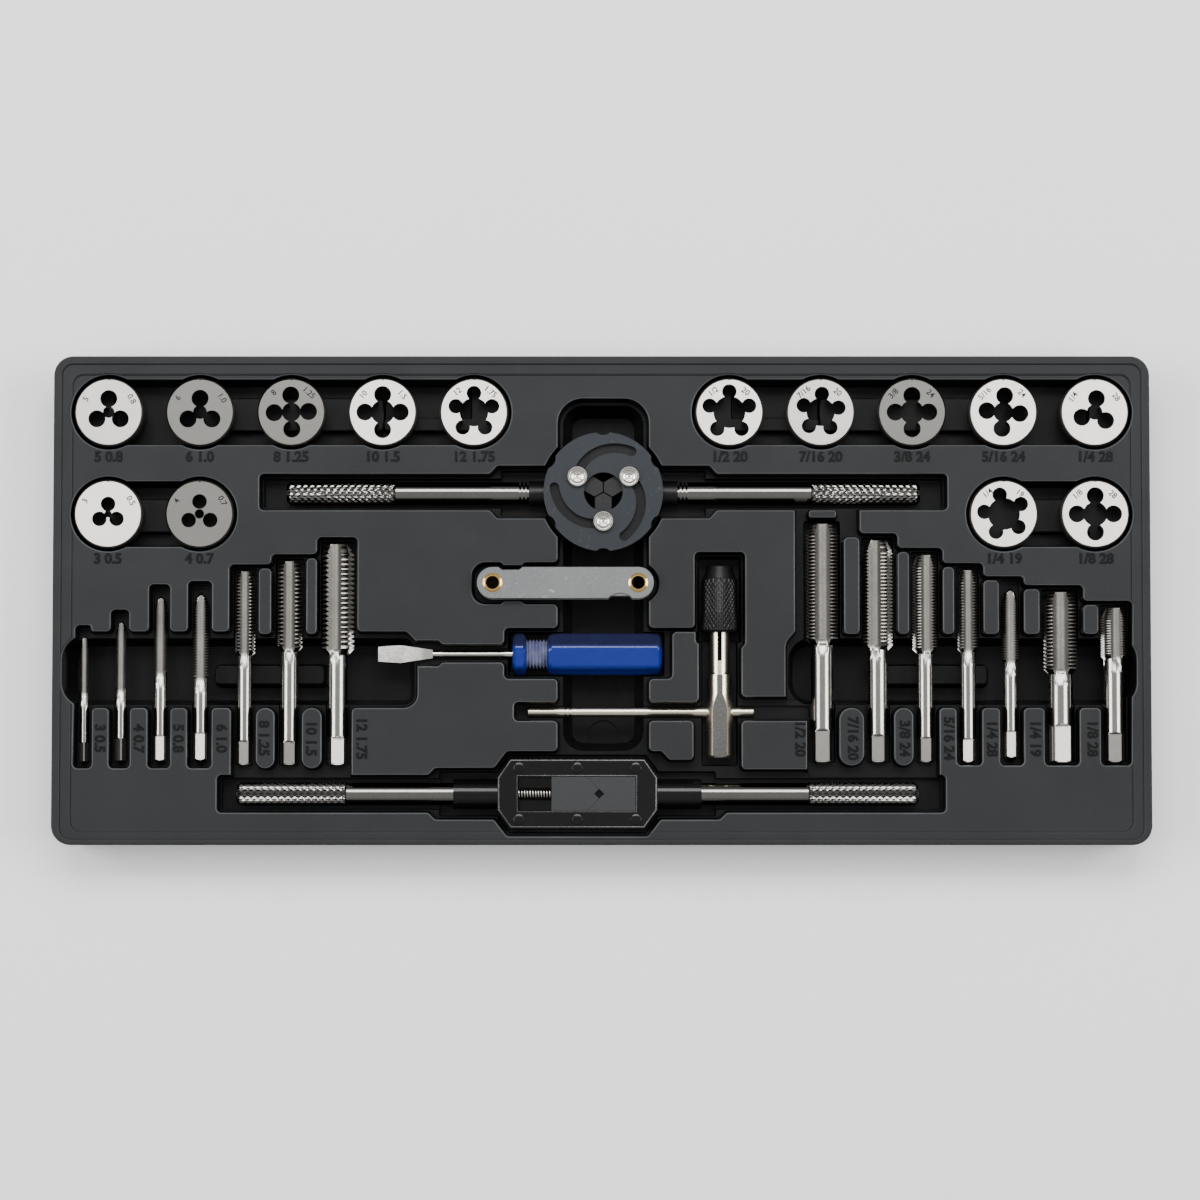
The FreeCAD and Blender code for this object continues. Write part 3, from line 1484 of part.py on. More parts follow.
def wrench_cover():
    """Flat cover with the window that shows the jaws."""
    bottom = cover_bottom + face_gap
    cover = plate(wrench_outline(), cover_top - bottom, bottom)
    window = box(wrench_window_length, wrench_window_width, 2 * wrench_cover_thickness,
                 window_x, wrench_y, bottom - cut_over)
    boss_relief = cylinder(wrench_boss_radius + face_gap, wrench_body_length + 2 * cut_over,
                           Vector(wrench_left - cut_over, wrench_y, wrench_axis.z), AXIS_X)
    ends = boss_relief.cut(box(wrench_window_length, wrench_body_width, 2 * wrench_body_thickness,
                               window_x, wrench_y, wrench_bottom))
    through = wrench_cover_thickness + 2 * cut_over
    holes = rivet_holes(wrench_rivet_shank + face_gap, through, bottom - cut_over)
    save("wrench_cover", [cover.cut([window, ends] + holes)])


def wrench_rivets():
    """Round-headed rivets that hold the cover."""
    top = cover_top + face_gap
    bottom = cover_top - wrench_rivet_length + face_gap
    shanks = rivet_holes(wrench_rivet_shank, top - bottom, bottom)
    heads = rivet_holes(wrench_rivet_radius, wrench_rivet_height, top)
    save("wrench_rivets", [shank.fuse(head) for shank, head in zip(shanks, heads)])


def wrench_jaw(points):
    """Jaw from its outline: a wide foot that runs in the track and a narrower top in the window."""
    low = wrench_bottom + wrench_web + running_gap
    shoulder = cover_bottom - running_gap
    wide = track_half - running_gap
    narrow = wrench_window_width / 2 - running_gap
    jaw = plate(points, cover_top - low, low)
    foot = box(wrench_body_length, 2 * wide, shoulder - low, wrench_x, wrench_y, low)
    top = box(wrench_window_length - 2 * running_gap, 2 * narrow, cover_top - low, window_x, wrench_y, low)
    return jaw.common(foot.fuse(top))


def wrench_jaws():
    """Fixed jaw with a right-angled groove, and the sliding jaw whose nose fits it round a square hole."""
    apex = wrench_x + wrench_jaw_seam_x + wrench_square
    half = track_half
    fixed_end = track_right - running_gap
    fixed = [
        (apex, wrench_y),
        (apex - half, wrench_y - half),
        (fixed_end, wrench_y - half),
        (fixed_end, wrench_y + half),
        (apex - half, wrench_y + half),
    ]
    save("wrench_fixed_jaw", [wrench_jaw(fixed)])
    nose = apex - running_gap
    back = window_left + wrench_jaw_opening
    sliding = [
        (nose - 2 * wrench_square, wrench_y),
        (nose - wrench_square, wrench_y + wrench_square),
        (nose - half, wrench_y + half),
        (back, wrench_y + half),
        (back, wrench_y - half),
        (nose - half, wrench_y - half),
        (nose - wrench_square, wrench_y - wrench_square),
    ]
    bore = cylinder(wrench_spindle_radius + running_gap, wrench_spindle_bore + cut_over,
                    Vector(back - cut_over, wrench_y, wrench_axis.z), AXIS_X)
    save("wrench_sliding_jaw", [wrench_jaw(sliding).cut(bore)])


def wrench_handles():
    """Fixed handle, and the turning handle with the spindle that draws the sliding jaw."""
    inner = wrench_body_length / 2 + running_gap
    outer = wrench_body_length / 2 + wrench_boss_length + running_gap
    stud = wrench_boss_bore - face_gap
    profile = [(inner, 0), (inner, stud), (outer, stud)]
    profile.extend(grip_profile(outer, wrench_handle_reach, wrench_rod_radius, wrench_knurl_length,
                                wrench_knurl_radius, wrench_handle_edge))
    save("wrench_fixed_handle", [turned(profile, wrench_axis, AXIS_X)])
    turning = turned(profile, wrench_axis, AXIS_X * -1)
    seat_end = wrench_left - running_gap - wrench_spindle_seat
    seat = cylinder(wrench_spindle_radius + face_gap, wrench_spindle_seat + cut_over,
                    Vector(seat_end, wrench_y, wrench_axis.z), AXIS_X)
    save("wrench_turning_handle", [turning.cut(seat)])
    start = seat_end + face_gap
    end = window_left + wrench_jaw_opening + wrench_spindle_entry
    spindle = cylinder(wrench_spindle_radius, end - start, Vector(start, wrench_y, wrench_axis.z), AXIS_X)
    save("wrench_spindle", [spindle])


# Tap wrench with a sliding bar

t_axis = Vector(t_wrench_x, t_wrench_y, deck_z - t_wrench_depth)


def t_wrench_body():
    """Round body with a milled flat, the cross hole for the bar, and the slotted end that grips a tap."""
    collet_end = t_body_top + t_collet_length
    profile = [
        (-t_body_bottom, 0),
        (-t_body_bottom, t_body_radius - t_body_edge),
        (t_body_edge - t_body_bottom, t_body_radius),
        (t_body_flare - t_body_flare_length, t_body_radius),
        (t_body_flare, t_body_neck_radius),
        (t_body_top, t_body_neck_radius),
        (t_body_top, t_collet_radius - t_collet_shoulder / 2),
        (t_body_top + t_collet_shoulder, t_collet_radius - t_collet_shoulder / 2),
        (t_body_top + t_collet_shoulder, t_collet_radius),
        (collet_end, t_collet_radius),
        (collet_end, 0),
    ]
    body = turned(profile, t_axis, AXIS_Y)
    flat_length = t_body_bottom + t_body_top
    flat_y = t_wrench_y + (t_body_top - t_body_bottom) / 2
    flat = box(2 * t_body_radius, flat_length, t_body_radius, t_wrench_x, flat_y, t_axis.z + t_body_flat)
    bar_hole = cylinder(t_bar_radius + running_gap, 4 * t_body_radius,
                        t_axis - AXIS_X * 2 * t_body_radius, AXIS_X)
    slot_y = t_wrench_y + collet_end - t_slot_length / 2 + cut_over / 2
    slot = box(t_slot_width, t_slot_length + cut_over, 3 * t_collet_radius, t_wrench_x, slot_y,
               t_axis.z - 3 * t_collet_radius / 2)
    socket = cylinder(t_socket_radius, t_slot_length + cut_over,
                      t_axis + AXIS_Y * (collet_end - t_slot_length), AXIS_Y)
    save("t_wrench_body", [body.cut([flat, bar_hole, slot, socket])])


def t_wrench_collar():
    """Knurled collar whose tapered bore closes the two jaws."""
    start = t_collar_start
    end = start + t_collar_length
    nose_end = end + t_nose_length
    outside = [
        (start, 0),
        (start, t_collar_radius - t_collar_edge),
        (start + t_collar_edge, t_collar_radius),
        (end - t_collar_edge, t_collar_radius),
        (end, t_collar_radius - t_collar_edge),
        (end, t_nose_radius),
        (nose_end - t_collar_edge, t_nose_radius),
        (nose_end, t_nose_radius - t_collar_edge),
        (nose_end, 0),
    ]
    bore = t_collet_radius + running_gap
    taper_start = t_body_top + t_collet_length + running_gap
    inside = [
        (start - cut_over, 0),
        (start - cut_over, bore),
        (taper_start, bore),
        (taper_start + t_jaw_length, t_nose_bore),
        (nose_end + cut_over, t_nose_bore),
        (nose_end + cut_over, 0),
    ]
    collar = turned(outside, t_axis, AXIS_Y).cut(turned(inside, t_axis, AXIS_Y))
    save("t_wrench_collar", [collar])


def t_wrench_jaws():
    """Two tapered jaws with a square socket between them."""
    start = t_body_top + t_collet_length + running_gap
    end = start + t_jaw_length
    profile = [
        (start, 0),
        (start, t_collet_radius - running_gap),
        (end, t_nose_bore - 2 * running_gap),
        (end, 0),
    ]
    cone = turned(profile, t_axis, AXIS_Y)
    middle_y = t_wrench_y + (start + end) / 2
    split = box(t_jaw_gap, 2 * t_jaw_length, 4 * t_collet_radius, t_wrench_x, middle_y,
                t_axis.z - 2 * t_collet_radius)
    socket = box(2 * t_jaw_socket, 2 * t_jaw_length, 2 * t_jaw_socket, t_wrench_x, middle_y,
                 t_axis.z - t_jaw_socket)
    socket.rotate(t_axis, AXIS_Y, 45)
    save("t_wrench_jaws", [cone.cut([split, socket])])


def t_wrench_bar():
    """Sliding bar with two turned grooves near its free end."""
    bar_end = -t_bar_left
    profile = [
        (bar_end, 0),
        (bar_end, t_bar_radius - t_bar_edge),
        (bar_end + t_bar_edge, t_bar_radius),
    ]
    groove = bar_end + t_bar_groove_place
    for index in range(t_bar_groove_count):
        profile.append((groove, t_bar_radius))
        profile.append((groove, t_bar_radius - t_bar_groove_depth))
        groove = groove + t_bar_groove_width
        profile.append((groove, t_bar_radius - t_bar_groove_depth))
        profile.append((groove, t_bar_radius))
        groove = groove + t_bar_groove_width
    profile.append((t_bar_right - t_bar_edge, t_bar_radius))
    profile.append((t_bar_right, t_bar_radius - t_bar_edge))
    profile.append((t_bar_right, 0))
    save("t_wrench_bar", [turned(profile, t_axis, AXIS_X)])


# Screwdriver

driver_axis = Vector(driver_x, driver_y, deck_z - driver_depth)


def driver_handle():
    """Six-sided handle with a ribbed neck and a six-sided head, bored for the shaft."""
    neck_start = driver_grip_length
    head_start = neck_start + driver_neck_length
    front = head_start + driver_head_length
    dome_radius = driver_grip_radius - driver_grip_dome / 2
    rib = driver_neck_length / (2 * driver_neck_ribs + 1)
    profile = [
        (0, 0),
        (0, dome_radius - driver_grip_round),
        (driver_grip_round, dome_radius),
        (driver_grip_dome, driver_grip_radius),
        (neck_start - driver_head_edge, driver_grip_radius),
        (neck_start, driver_neck_radius - driver_neck_rib),
    ]
    for index in range(driver_neck_ribs):
        along = neck_start + (2 * index + 1) * rib
        profile.append((along, driver_neck_radius - driver_neck_rib))
        profile.append((along, driver_neck_radius))
        profile.append((along + rib, driver_neck_radius))
        profile.append((along + rib, driver_neck_radius - driver_neck_rib))
    profile.append((head_start, driver_neck_radius - driver_neck_rib))
    profile.append((head_start, driver_grip_radius - driver_head_edge))
    profile.append((head_start + driver_head_edge / 2, driver_grip_radius))
    profile.append((front - driver_head_edge, driver_grip_radius))
    profile.append((front, driver_grip_radius - driver_head_edge))
    profile.append((front, 0))
    round_form = turned(profile, driver_axis, AXIS_X * -1)
    corners = []
    for index in range(6):
        angle = math.radians(driver_grip_roll + 60 * index)
        corners.append(Vector(driver_x + cut_over, driver_y + driver_grip_radius * math.cos(angle),
                              driver_axis.z + driver_grip_radius * math.sin(angle)))
    corners.append(corners[0])
    hexagon = Part.Face(Part.makePolygon(corners)).extrude(AXIS_X * -(front + 2 * cut_over))
    seat = cylinder(driver_shaft_radius + face_gap, driver_shaft_seat + cut_over,
                    Vector(driver_x - front - cut_over, driver_y, driver_axis.z), AXIS_X)
    save("driver_handle", [round_form.common(hexagon).cut(seat)])


def driver_blade():
    """Round shaft that widens into a flat blade with a slimmer tip."""
    seat_start = driver_front + driver_shaft_seat - face_gap
    blade_start = driver_front - driver_shaft_length
    tip = blade_start - driver_blade_length
    wide = tip + driver_blade_wide_length
    shaft = cylinder(driver_shaft_radius, seat_start - blade_start,
                     Vector(seat_start, driver_y, driver_axis.z), AXIS_X * -1)
    half_width = driver_blade_width / 2
    half_tip = driver_tip_width / 2
    plan = [
        (blade_start, driver_y - driver_shaft_radius),
        (blade_start, driver_y + driver_shaft_radius),
        (wide, driver_y + half_width),
        (tip, driver_y + half_tip),
        (tip, driver_y - half_tip),
        (wide, driver_y - half_width),
    ]
    flat = plate(plan, 2 * driver_shaft_radius, driver_axis.z - driver_shaft_radius)
    half_tip_thickness = driver_tip_thickness / 2
    side = [
        Vector(blade_start, driver_y - driver_blade_width, driver_axis.z - driver_shaft_radius),
        Vector(tip, driver_y - driver_blade_width, driver_axis.z - half_tip_thickness),
        Vector(tip, driver_y - driver_blade_width, driver_axis.z + half_tip_thickness),
        Vector(blade_start, driver_y - driver_blade_width, driver_axis.z + driver_shaft_radius),
    ]
    side.append(side[0])
    wedge = Part.Face(Part.makePolygon(side)).extrude(AXIS_Y * 2 * driver_blade_width)
    save("driver_blade", [shaft.fuse(flat.common(wedge))])


# Screw pitch gauge

gauge_bottom = deck_z - gauge_depth
gauge_top = deck_z + gauge_rise
pivot_left = gauge_x - (gauge_length - gauge_width) / 2
pivot_right = gauge_x + (gauge_length - gauge_width) / 2
leaf_step = gauge_leaf + face_gap
left_group_bottom = deck_z + gauge_leaf_lift
right_group_bottom = left_group_bottom + gauge_leaf_count * leaf_step


def gauge_plate_blank(bottom):
    """Long plate with round ends, two thumb notches and a hole for each eyelet."""
    half = gauge_width / 2
    length = pivot_right - pivot_left
    solid = box(length, gauge_width, gauge_plate, gauge_x, gauge_y, bottom)
    for x in (pivot_left, pivot_right):
        solid = solid.fuse(cylinder(half, gauge_plate, Vector(x, gauge_y, bottom), AXIS_Z))
    cuts = []
    for x, side in ((pivot_left + gauge_thumb_place, 1), (pivot_right - gauge_thumb_place, -1)):
        y = gauge_y + side * (half + gauge_thumb_radius - gauge_thumb_depth)
        cuts.append(cylinder(gauge_thumb_radius, gauge_plate + 2 * cut_over,
                             Vector(x, y, bottom - cut_over), AXIS_Z))
    for x in (pivot_left, pivot_right):
        cuts.append(cylinder(gauge_eyelet_body + face_gap, gauge_plate + 2 * cut_over,
                             Vector(x, gauge_y, bottom - cut_over), AXIS_Z))
    return solid.cut(cuts)


def gauge_plates():
    """Case plates below and above the leaves."""
    save("gauge_plates", [gauge_plate_blank(gauge_bottom), gauge_plate_blank(gauge_top - gauge_plate)])


def gauge_leaf_piece(side, thickness, bottom):
    """One leaf on its eyelet, from the left pivot (side 1) or the right one (side -1)."""
    pivot = pivot_left if side == 1 else pivot_right
    half = gauge_leaf_width / 2
    half_tip = gauge_leaf_tip_width / 2
    length = pivot_right - pivot_left - gauge_leaf_end
    shoulder = pivot + side * length / 2
    tip = pivot + side * length
    points = [
        (pivot, gauge_y - half),
        (shoulder, gauge_y - half),
        (tip, gauge_y - half_tip),
        (tip, gauge_y + half_tip),
        (shoulder, gauge_y + half),
        (pivot, gauge_y + half),
    ]
    leaf = plate(points, thickness, bottom)
    leaf = leaf.fuse(cylinder(half, thickness, Vector(pivot, gauge_y, bottom), AXIS_Z))
    hole = cylinder(gauge_eyelet_body + running_gap, thickness + 2 * cut_over,
                    Vector(pivot, gauge_y, bottom - cut_over), AXIS_Z)
    return leaf.cut(hole)


def gauge_leaves():
    """Closed stack of leaves on both eyelets, and the two groups of leaves that swing out."""
    stack = []
    bottom = gauge_bottom + gauge_plate + face_gap
    for index in range(gauge_stack_count):
        side = 1 if index % 2 == 0 else -1
        stack.append(gauge_leaf_piece(side, gauge_stack_leaf, bottom))
        bottom = bottom + gauge_stack_leaf + face_gap
    save("gauge_leaf_stack", stack)
    for name, side, start in (("gauge_leaves_left", 1, left_group_bottom),
                              ("gauge_leaves_right", -1, right_group_bottom)):
        group = []
        for index in range(gauge_leaf_count):
            group.append(gauge_leaf_piece(side, gauge_leaf, start + index * leaf_step))
        save(name, group)


def gauge_eyelets():
    """Two brass eyelets, rolled over the case plates."""
    eyelets = []
    height = gauge_top - gauge_bottom
    for x in (pivot_left, pivot_right):
        profile = [
            (-face_gap - gauge_eyelet_lip, 0),
            (-face_gap - gauge_eyelet_lip, gauge_eyelet_body),
            (-face_gap, gauge_eyelet_radius),
            (-face_gap, gauge_eyelet_body),
            (height + face_gap, gauge_eyelet_body),
            (height + face_gap, gauge_eyelet_radius),
            (height + face_gap + gauge_eyelet_lip, gauge_eyelet_body),
            (height + face_gap + gauge_eyelet_lip, 0),
        ]
        eyelet = turned(profile, Vector(x, gauge_y, gauge_bottom), AXIS_Z)
        bore = cylinder(gauge_eyelet_bore, height + 4 * cut_over,
                        Vector(x, gauge_y, gauge_bottom - 2 * cut_over), AXIS_Z)
        eyelets.append(eyelet.cut(bore))
    save("gauge_eyelets", eyelets)


for entry, place in zip(left_taps, left_places):
    tap_piece(entry, place, left_foot_y)
for entry, place in zip(right_taps, right_places):
    tap_piece(entry, place, right_foot_y)
for entry in dies:
    die_piece(entry)
stock_body()
stock_clamp_screws()
stock_guide_plate()
stock_guides()
stock_handles()
wrench_body()
wrench_cover()
wrench_rivets()
wrench_jaws()
wrench_handles()
t_wrench_body()
t_wrench_collar()
t_wrench_jaws()
t_wrench_bar()
driver_handle()
driver_blade()
gauge_plates()
gauge_leaves()
gauge_eyelets()
tool_tray()
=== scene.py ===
"""Finishes and fine surfaces of a tap and die set in its moulded tray."""

import math

import bmesh
import bpy
import numpy as np
from mathutils import Matrix, Vector


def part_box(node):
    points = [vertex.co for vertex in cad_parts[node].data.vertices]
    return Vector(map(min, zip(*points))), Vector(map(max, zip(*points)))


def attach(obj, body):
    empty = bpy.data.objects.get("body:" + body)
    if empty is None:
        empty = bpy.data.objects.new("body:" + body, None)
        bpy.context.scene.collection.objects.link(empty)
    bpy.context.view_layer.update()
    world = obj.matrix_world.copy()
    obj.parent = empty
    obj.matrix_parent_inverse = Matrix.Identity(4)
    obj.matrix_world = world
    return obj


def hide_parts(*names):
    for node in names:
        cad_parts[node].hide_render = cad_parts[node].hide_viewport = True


bl_info = {
    "name": "Tap and die set",
    "version": (1, 0, 0),
    "blender": (4, 5, 0),
    "location": "3D View > Sidebar > Tap Set",
    "description": "Dresses the tray, taps, dies, wrenches, screwdriver and pitch gauge of a threading set",
    "category": "Object",
}

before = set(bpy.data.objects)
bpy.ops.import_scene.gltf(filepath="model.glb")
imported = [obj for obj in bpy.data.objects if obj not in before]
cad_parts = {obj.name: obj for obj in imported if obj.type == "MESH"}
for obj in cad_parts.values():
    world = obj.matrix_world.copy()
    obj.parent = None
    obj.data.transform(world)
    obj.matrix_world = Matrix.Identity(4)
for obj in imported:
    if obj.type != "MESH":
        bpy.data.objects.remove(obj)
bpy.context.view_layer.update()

mm = 0.001
turn = 2 * math.pi
inch = 25.4
deck_z = 24.6
tap_axis_z = 19.1
stock_axis = (0.6, 39.2, 17.6)
wrench_axis = (-8.75, -70.0, 18.6)
t_axis = (42.8, -40.3, 17.4)

# Taps: size, thread, pitch, threaded length, shank, square length, flutes, flute turn, square turn, the
# square's look (sanded grey below 0.5, a painted white glare towards 1), numbers beside it, and where those
# stand along X. Taps with three flutes are pointed. Finishes run from oily black with painted shade at -0.5
# through polished at 0 and sanded grey at 0.5 to a painted white glare at 1
taps = (
    ("m3", 3.0, 0.5, 20.2, 3.4, 7.9, 3, 0, 40, 0.3, "3 0.5", -181.3),
    ("m4", 4.0, 0.7, 24.7, 4.2, 9.4, 3, 0, 38, 0.3, "4 0.7", -167.3),
    ("m5", 5.0, 0.8, 27.8, 4.8, 10.2, 3, 0, 0, 1.0, "5 0.8", -153.0),
    ("m6", 6.0, 1.0, 30.8, 5.4, 11.2, 3, 0, 0, 1.0, "6 1.0", -137.4),
    ("m8", 8.0, 1.25, 29.3, 5.6, 8.3, 4, 0, 3, 0.3, "8 1.25", -122.1),
    ("m10", 10.0, 1.5, 31.1, 6.4, 8.1, 4, 0, -4, 0.25, "10 1.5", -105.0),
    ("m12", 12.0, 1.75, 37.9, 7.4, 9.4, 4, 13, -5, 1.0, "12 1.75", -86.8),
    ("half_20", 12.7, inch / 20, 41.8, 8.2, 11.1, 4, 0, 3, 0.3, "1/2 20", 71.6),
    ("seven_sixteenths_20", 11.1, inch / 20, 37.9, 7.4, 9.3, 4, 20, 4, 0.35, "7/16 20", 90.6),
    ("three_eighths_24", 9.5, inch / 24, 34.1, 6.0, 8.5, 4, -7, 0, 0.3, "3/8 24", 109.3),
    ("five_sixteenths_24", 7.9, inch / 24, 28.6, 5.8, 8.0, 4, 0, 6, 1.0, "5/16 24", 125.3),
    ("quarter_28", 6.35, inch / 28, 26.5, 5.2, 10.8, 3, 0, 0, 1.0, "1/4 28", 140.8),
    ("pipe_quarter_19", 13.1, inch / 19, 27.8, 9.2, 12.8, 4, 3, -6, 0.9, "1/4 19", 156.5),
    ("pipe_eighth_28", 9.7, inch / 28, 17.4, 7.6, 10.0, 4, -8, 2, 0.3, "1/8 28", 177.1),
)
tap_web_share = 0.42
tap_lead_share = 0.62
tap_flute_share = 0.62
tap_thread_depth = 0.6
tap_square_share = 0.8
tap_lead = 4.0
tap_foot_break = 0.5
tap_run_out = 6.5
tap_mark_y = -50.0

# Dies: size, bearing of the numbers on the face, and the face's look, bright, plain or dull, which is partly
# its grinding and partly a painted reflection of the lights. The numbers are those of the same tap
dies = (
    ("m5", 60, "plain"),
    ("m6", 57, "dull"),
    ("m8", 42, "dull"),
    ("m10", 48, "bright"),
    ("m12", 39, "bright"),
    ("half_20", 38, "bright"),
    ("seven_sixteenths_20", 40, "plain"),
    ("three_eighths_24", 45, "dull"),
    ("five_sixteenths_24", 45, "bright"),
    ("quarter_28", 55, "bright"),
    ("m3", 60, "bright"),
    ("m4", 60, "dull"),
    ("pipe_quarter_19", 38, "bright"),
    ("pipe_eighth_28", 42, "bright"),
)
die_mark_radius = 9.5
die_mark_height = 2.1
die_radius = 12.4
die_edge = 0.6
die_notch = 1.0
die_label_below = 16.3
size_words = {tap[0]: tap[10] for tap in taps}

# Details, in millimetres. number_root is how far a number reaches into its surface
rim_edges = (194.5, 83.5)
die_face_z = 25.07
plate_face_z = 25.95
milled_flat_z = 21.44
screw_seat_z = 26.35
driver_axis_y = -19.3
blade_tip = (-66.5, -64.0)
rivet_radius = 2.1
stud_rib = 0.7
cover_corner = (4.6, 6.6)
wrench_window = ((-30.2, -76.25), (12.3, -76.25), (12.3, -63.75), (-30.2, -63.75))
number_root = 0.1


# Sizes and colours that a user would change

class TraySettings(bpy.types.PropertyGroup):
    """Moulded tray and its raised numbers."""

    plastic: bpy.props.FloatVectorProperty(
        name="Plastic", description="Colour of the moulding", subtype="COLOR",
        default=(0.0165, 0.0175, 0.0187), min=0, max=1)
    mark_height: bpy.props.FloatProperty(
        name="Number height", description="Height of the raised numbers", default=0.0036, unit="LENGTH")
    mark_rise: bpy.props.FloatProperty(
        name="Number rise", description="How far the numbers stand above the deck", default=0.0003,
        unit="LENGTH")


class SteelSettings(bpy.types.PropertyGroup):
    """Steel of the taps, dies and tools."""

    ground: bpy.props.FloatVectorProperty(
        name="Ground steel", description="Colour of ground and polished steel", subtype="COLOR",
        default=(0.62, 0.60, 0.565), min=0, max=1)
    sanded: bpy.props.FloatVectorProperty(
        name="Sanded steel", description="Colour of the sand-finished flutes", subtype="COLOR",
        default=(0.215, 0.206, 0.192), min=0, max=1)
    black: bpy.props.FloatVectorProperty(
        name="Blackened steel", description="Colour of the blackened parts", subtype="COLOR",
        default=(0.012, 0.012, 0.0125), min=0, max=1)


class KnurlSettings(bpy.types.PropertyGroup):
    """Diamond knurl of the handles."""

    teeth: bpy.props.IntProperty(
        name="Teeth", description="Diamonds round a handle", default=14, min=8, max=60)
    pitch: bpy.props.FloatProperty(
        name="Pitch", description="Length of a diamond along the handle", default=0.00243, unit="LENGTH")
    depth: bpy.props.FloatProperty(
        name="Depth", description="Depth of the knurl", default=0.0005, unit="LENGTH")


class StageSettings(bpy.types.PropertyGroup):
    """Floor, light and camera."""

    floor: bpy.props.FloatVectorProperty(
        name="Floor", description="Colour of the floor", subtype="COLOR", default=(0.93, 0.93, 0.93),
        min=0, max=1)
    sky: bpy.props.FloatProperty(
        name="Surroundings", description="Brightness of the room's light", default=0.6, min=0)
    panel_power: bpy.props.FloatProperty(
        name="Panel power", description="Power of each soft panel", default=27.0, unit="POWER")
    distance: bpy.props.FloatProperty(
        name="Camera distance", description="From the camera to the tray", default=1.5, unit="LENGTH")
    tilt: bpy.props.FloatProperty(
        name="Camera tilt", description="Lean of the view towards the front", default=math.radians(3.2),
        subtype="ANGLE")
    view_width: bpy.props.FloatProperty(
        name="View width", description="Width that the view takes in at the deck", default=0.434,
        unit="LENGTH")


# Meshes

def new_object(name, data):
    """Object in the scene for a mesh, curve, light or camera."""
    thing = bpy.data.objects.new(name, data)
    bpy.context.scene.collection.objects.link(thing)
    return thing


def new_piece(mesh, material, body, slot, *stands_for):
    """Piece in the row frame, named after its mesh, with one material, which rides on a body."""
    piece = new_object(mesh.name, mesh)
    mesh.materials.append(material)
    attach(piece, body)
    if stands_for:
        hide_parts(*stands_for)


def box_mm(node):
    """A node's lowest X, Y and Z and its highest, in millimetres."""
    low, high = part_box(node)
    return [value / mm for value in (*low, *high)]


def grid_mesh(name, points, round_trip=False, values=None, sharp=38, diamonds=False):
    """Closed mesh from a grid of points in millimetres, rows along the piece and columns round it.

    Neighbouring rows and columns make quads, and with diamonds these are split along alternate diagonals,
    as a knurl's grooves run. With round_trip the last row joins the first. The seam and the poles are
    merged, and edges sharper than an angle in degrees stay sharp. values is one number a point, kept as
    the attribute finish."""
    rows, columns = points.shape[:2]
    number = np.arange(rows * columns).reshape(rows, columns)
    if round_trip:
        number = np.vstack((number, number[:1]))
    quads = np.stack((number[:-1, :-1], number[:-1, 1:], number[1:, 1:], number[1:, :-1]), axis=-1)
    if diamonds:
        odd = np.add.outer(np.arange(quads.shape[0]), np.arange(quads.shape[1])) % 2
        order = np.where(odd[..., None] == 1, (0, 1, 3, 1, 2, 3), (0, 1, 2, 0, 2, 3))
        quads = np.take_along_axis(quads, order, axis=-1)
    corners = 3 if diamonds else 4
    quads = quads.reshape(-1, corners)
    mesh = bpy.data.meshes.new(name)
    mesh.vertices.add(rows * columns)
    mesh.vertices.foreach_set("co", (points * mm).astype(np.float32).ravel())
    mesh.loops.add(quads.size)
    mesh.loops.foreach_set("vertex_index", quads.astype(np.int32).ravel())
    mesh.polygons.add(len(quads))
    mesh.polygons.foreach_set("loop_start", np.arange(0, quads.size, corners, dtype=np.int32))
    if values is not None:
        layer = mesh.attributes.new("finish", "FLOAT", "POINT")
        layer.data.foreach_set("value", values.astype(np.float32).ravel())
    mesh.update(calc_edges=True)
    merge_into(mesh, [mesh], 2e-7)
    mesh.shade_smooth()
    mesh.set_sharp_from_angle(angle=math.radians(sharp))
    return mesh


def merge_into(result, meshes, distance):
    """Puts meshes into one, merges its doubled points and turns its faces outward."""
    work = bmesh.new()
    for mesh in meshes:
        work.from_mesh(mesh)
    bmesh.ops.remove_doubles(work, verts=work.verts, dist=distance)
    bmesh.ops.recalc_face_normals(work, faces=work.faces)
    work.to_mesh(result)
    work.free()


def on_axis(origin, direction, along, radius, angle):
    """Points at distance along an axis and at radius and angle round it. Angle 90 degrees is up."""
    forward = np.array(direction, float)
    up = np.array((0.0, 1.0, 0.0) if direction[2] else (0.0, 0.0, 1.0))
    side = np.cross(up, forward)
    along, radius, angle = (grid[..., None] for grid in np.broadcast_arrays(along, radius, angle))
    return np.array(origin) + along * forward + radius * (np.cos(angle) * side + np.sin(angle) * up)


def wave(share):
    """Triangle wave: 1 at whole numbers and 0 halfway between them."""
    return np.abs(2 * (share - np.floor(share)) - 1)


def helix_rows(length, pitch, phases, sweep):
    """Rows along a helix, four to a pitch: how far along each point is, and 0 for a root or 1 for a crest.

    phases are the rows' places in a pitch, two at the root and two at the crest, and sweep the angle that a
    point has turned."""
    turns = math.ceil(length / pitch) + 2
    start = ((np.arange(turns) - 1)[:, None] + phases).ravel() * pitch
    ridge = np.tile((0.0, 0.0, 1.0, 1.0), turns)[:, None]
    return np.clip(start[:, None] + pitch * sweep / turn, 0, length), ridge


def with_poles(along, surface, length):
    """Distances and radii with a row of radius 0 at each end, which closes the piece."""
    ends = np.zeros((1, along.shape[1]))
    return np.vstack((ends, along, ends + length)), np.vstack((ends, surface, ends))


# Taps

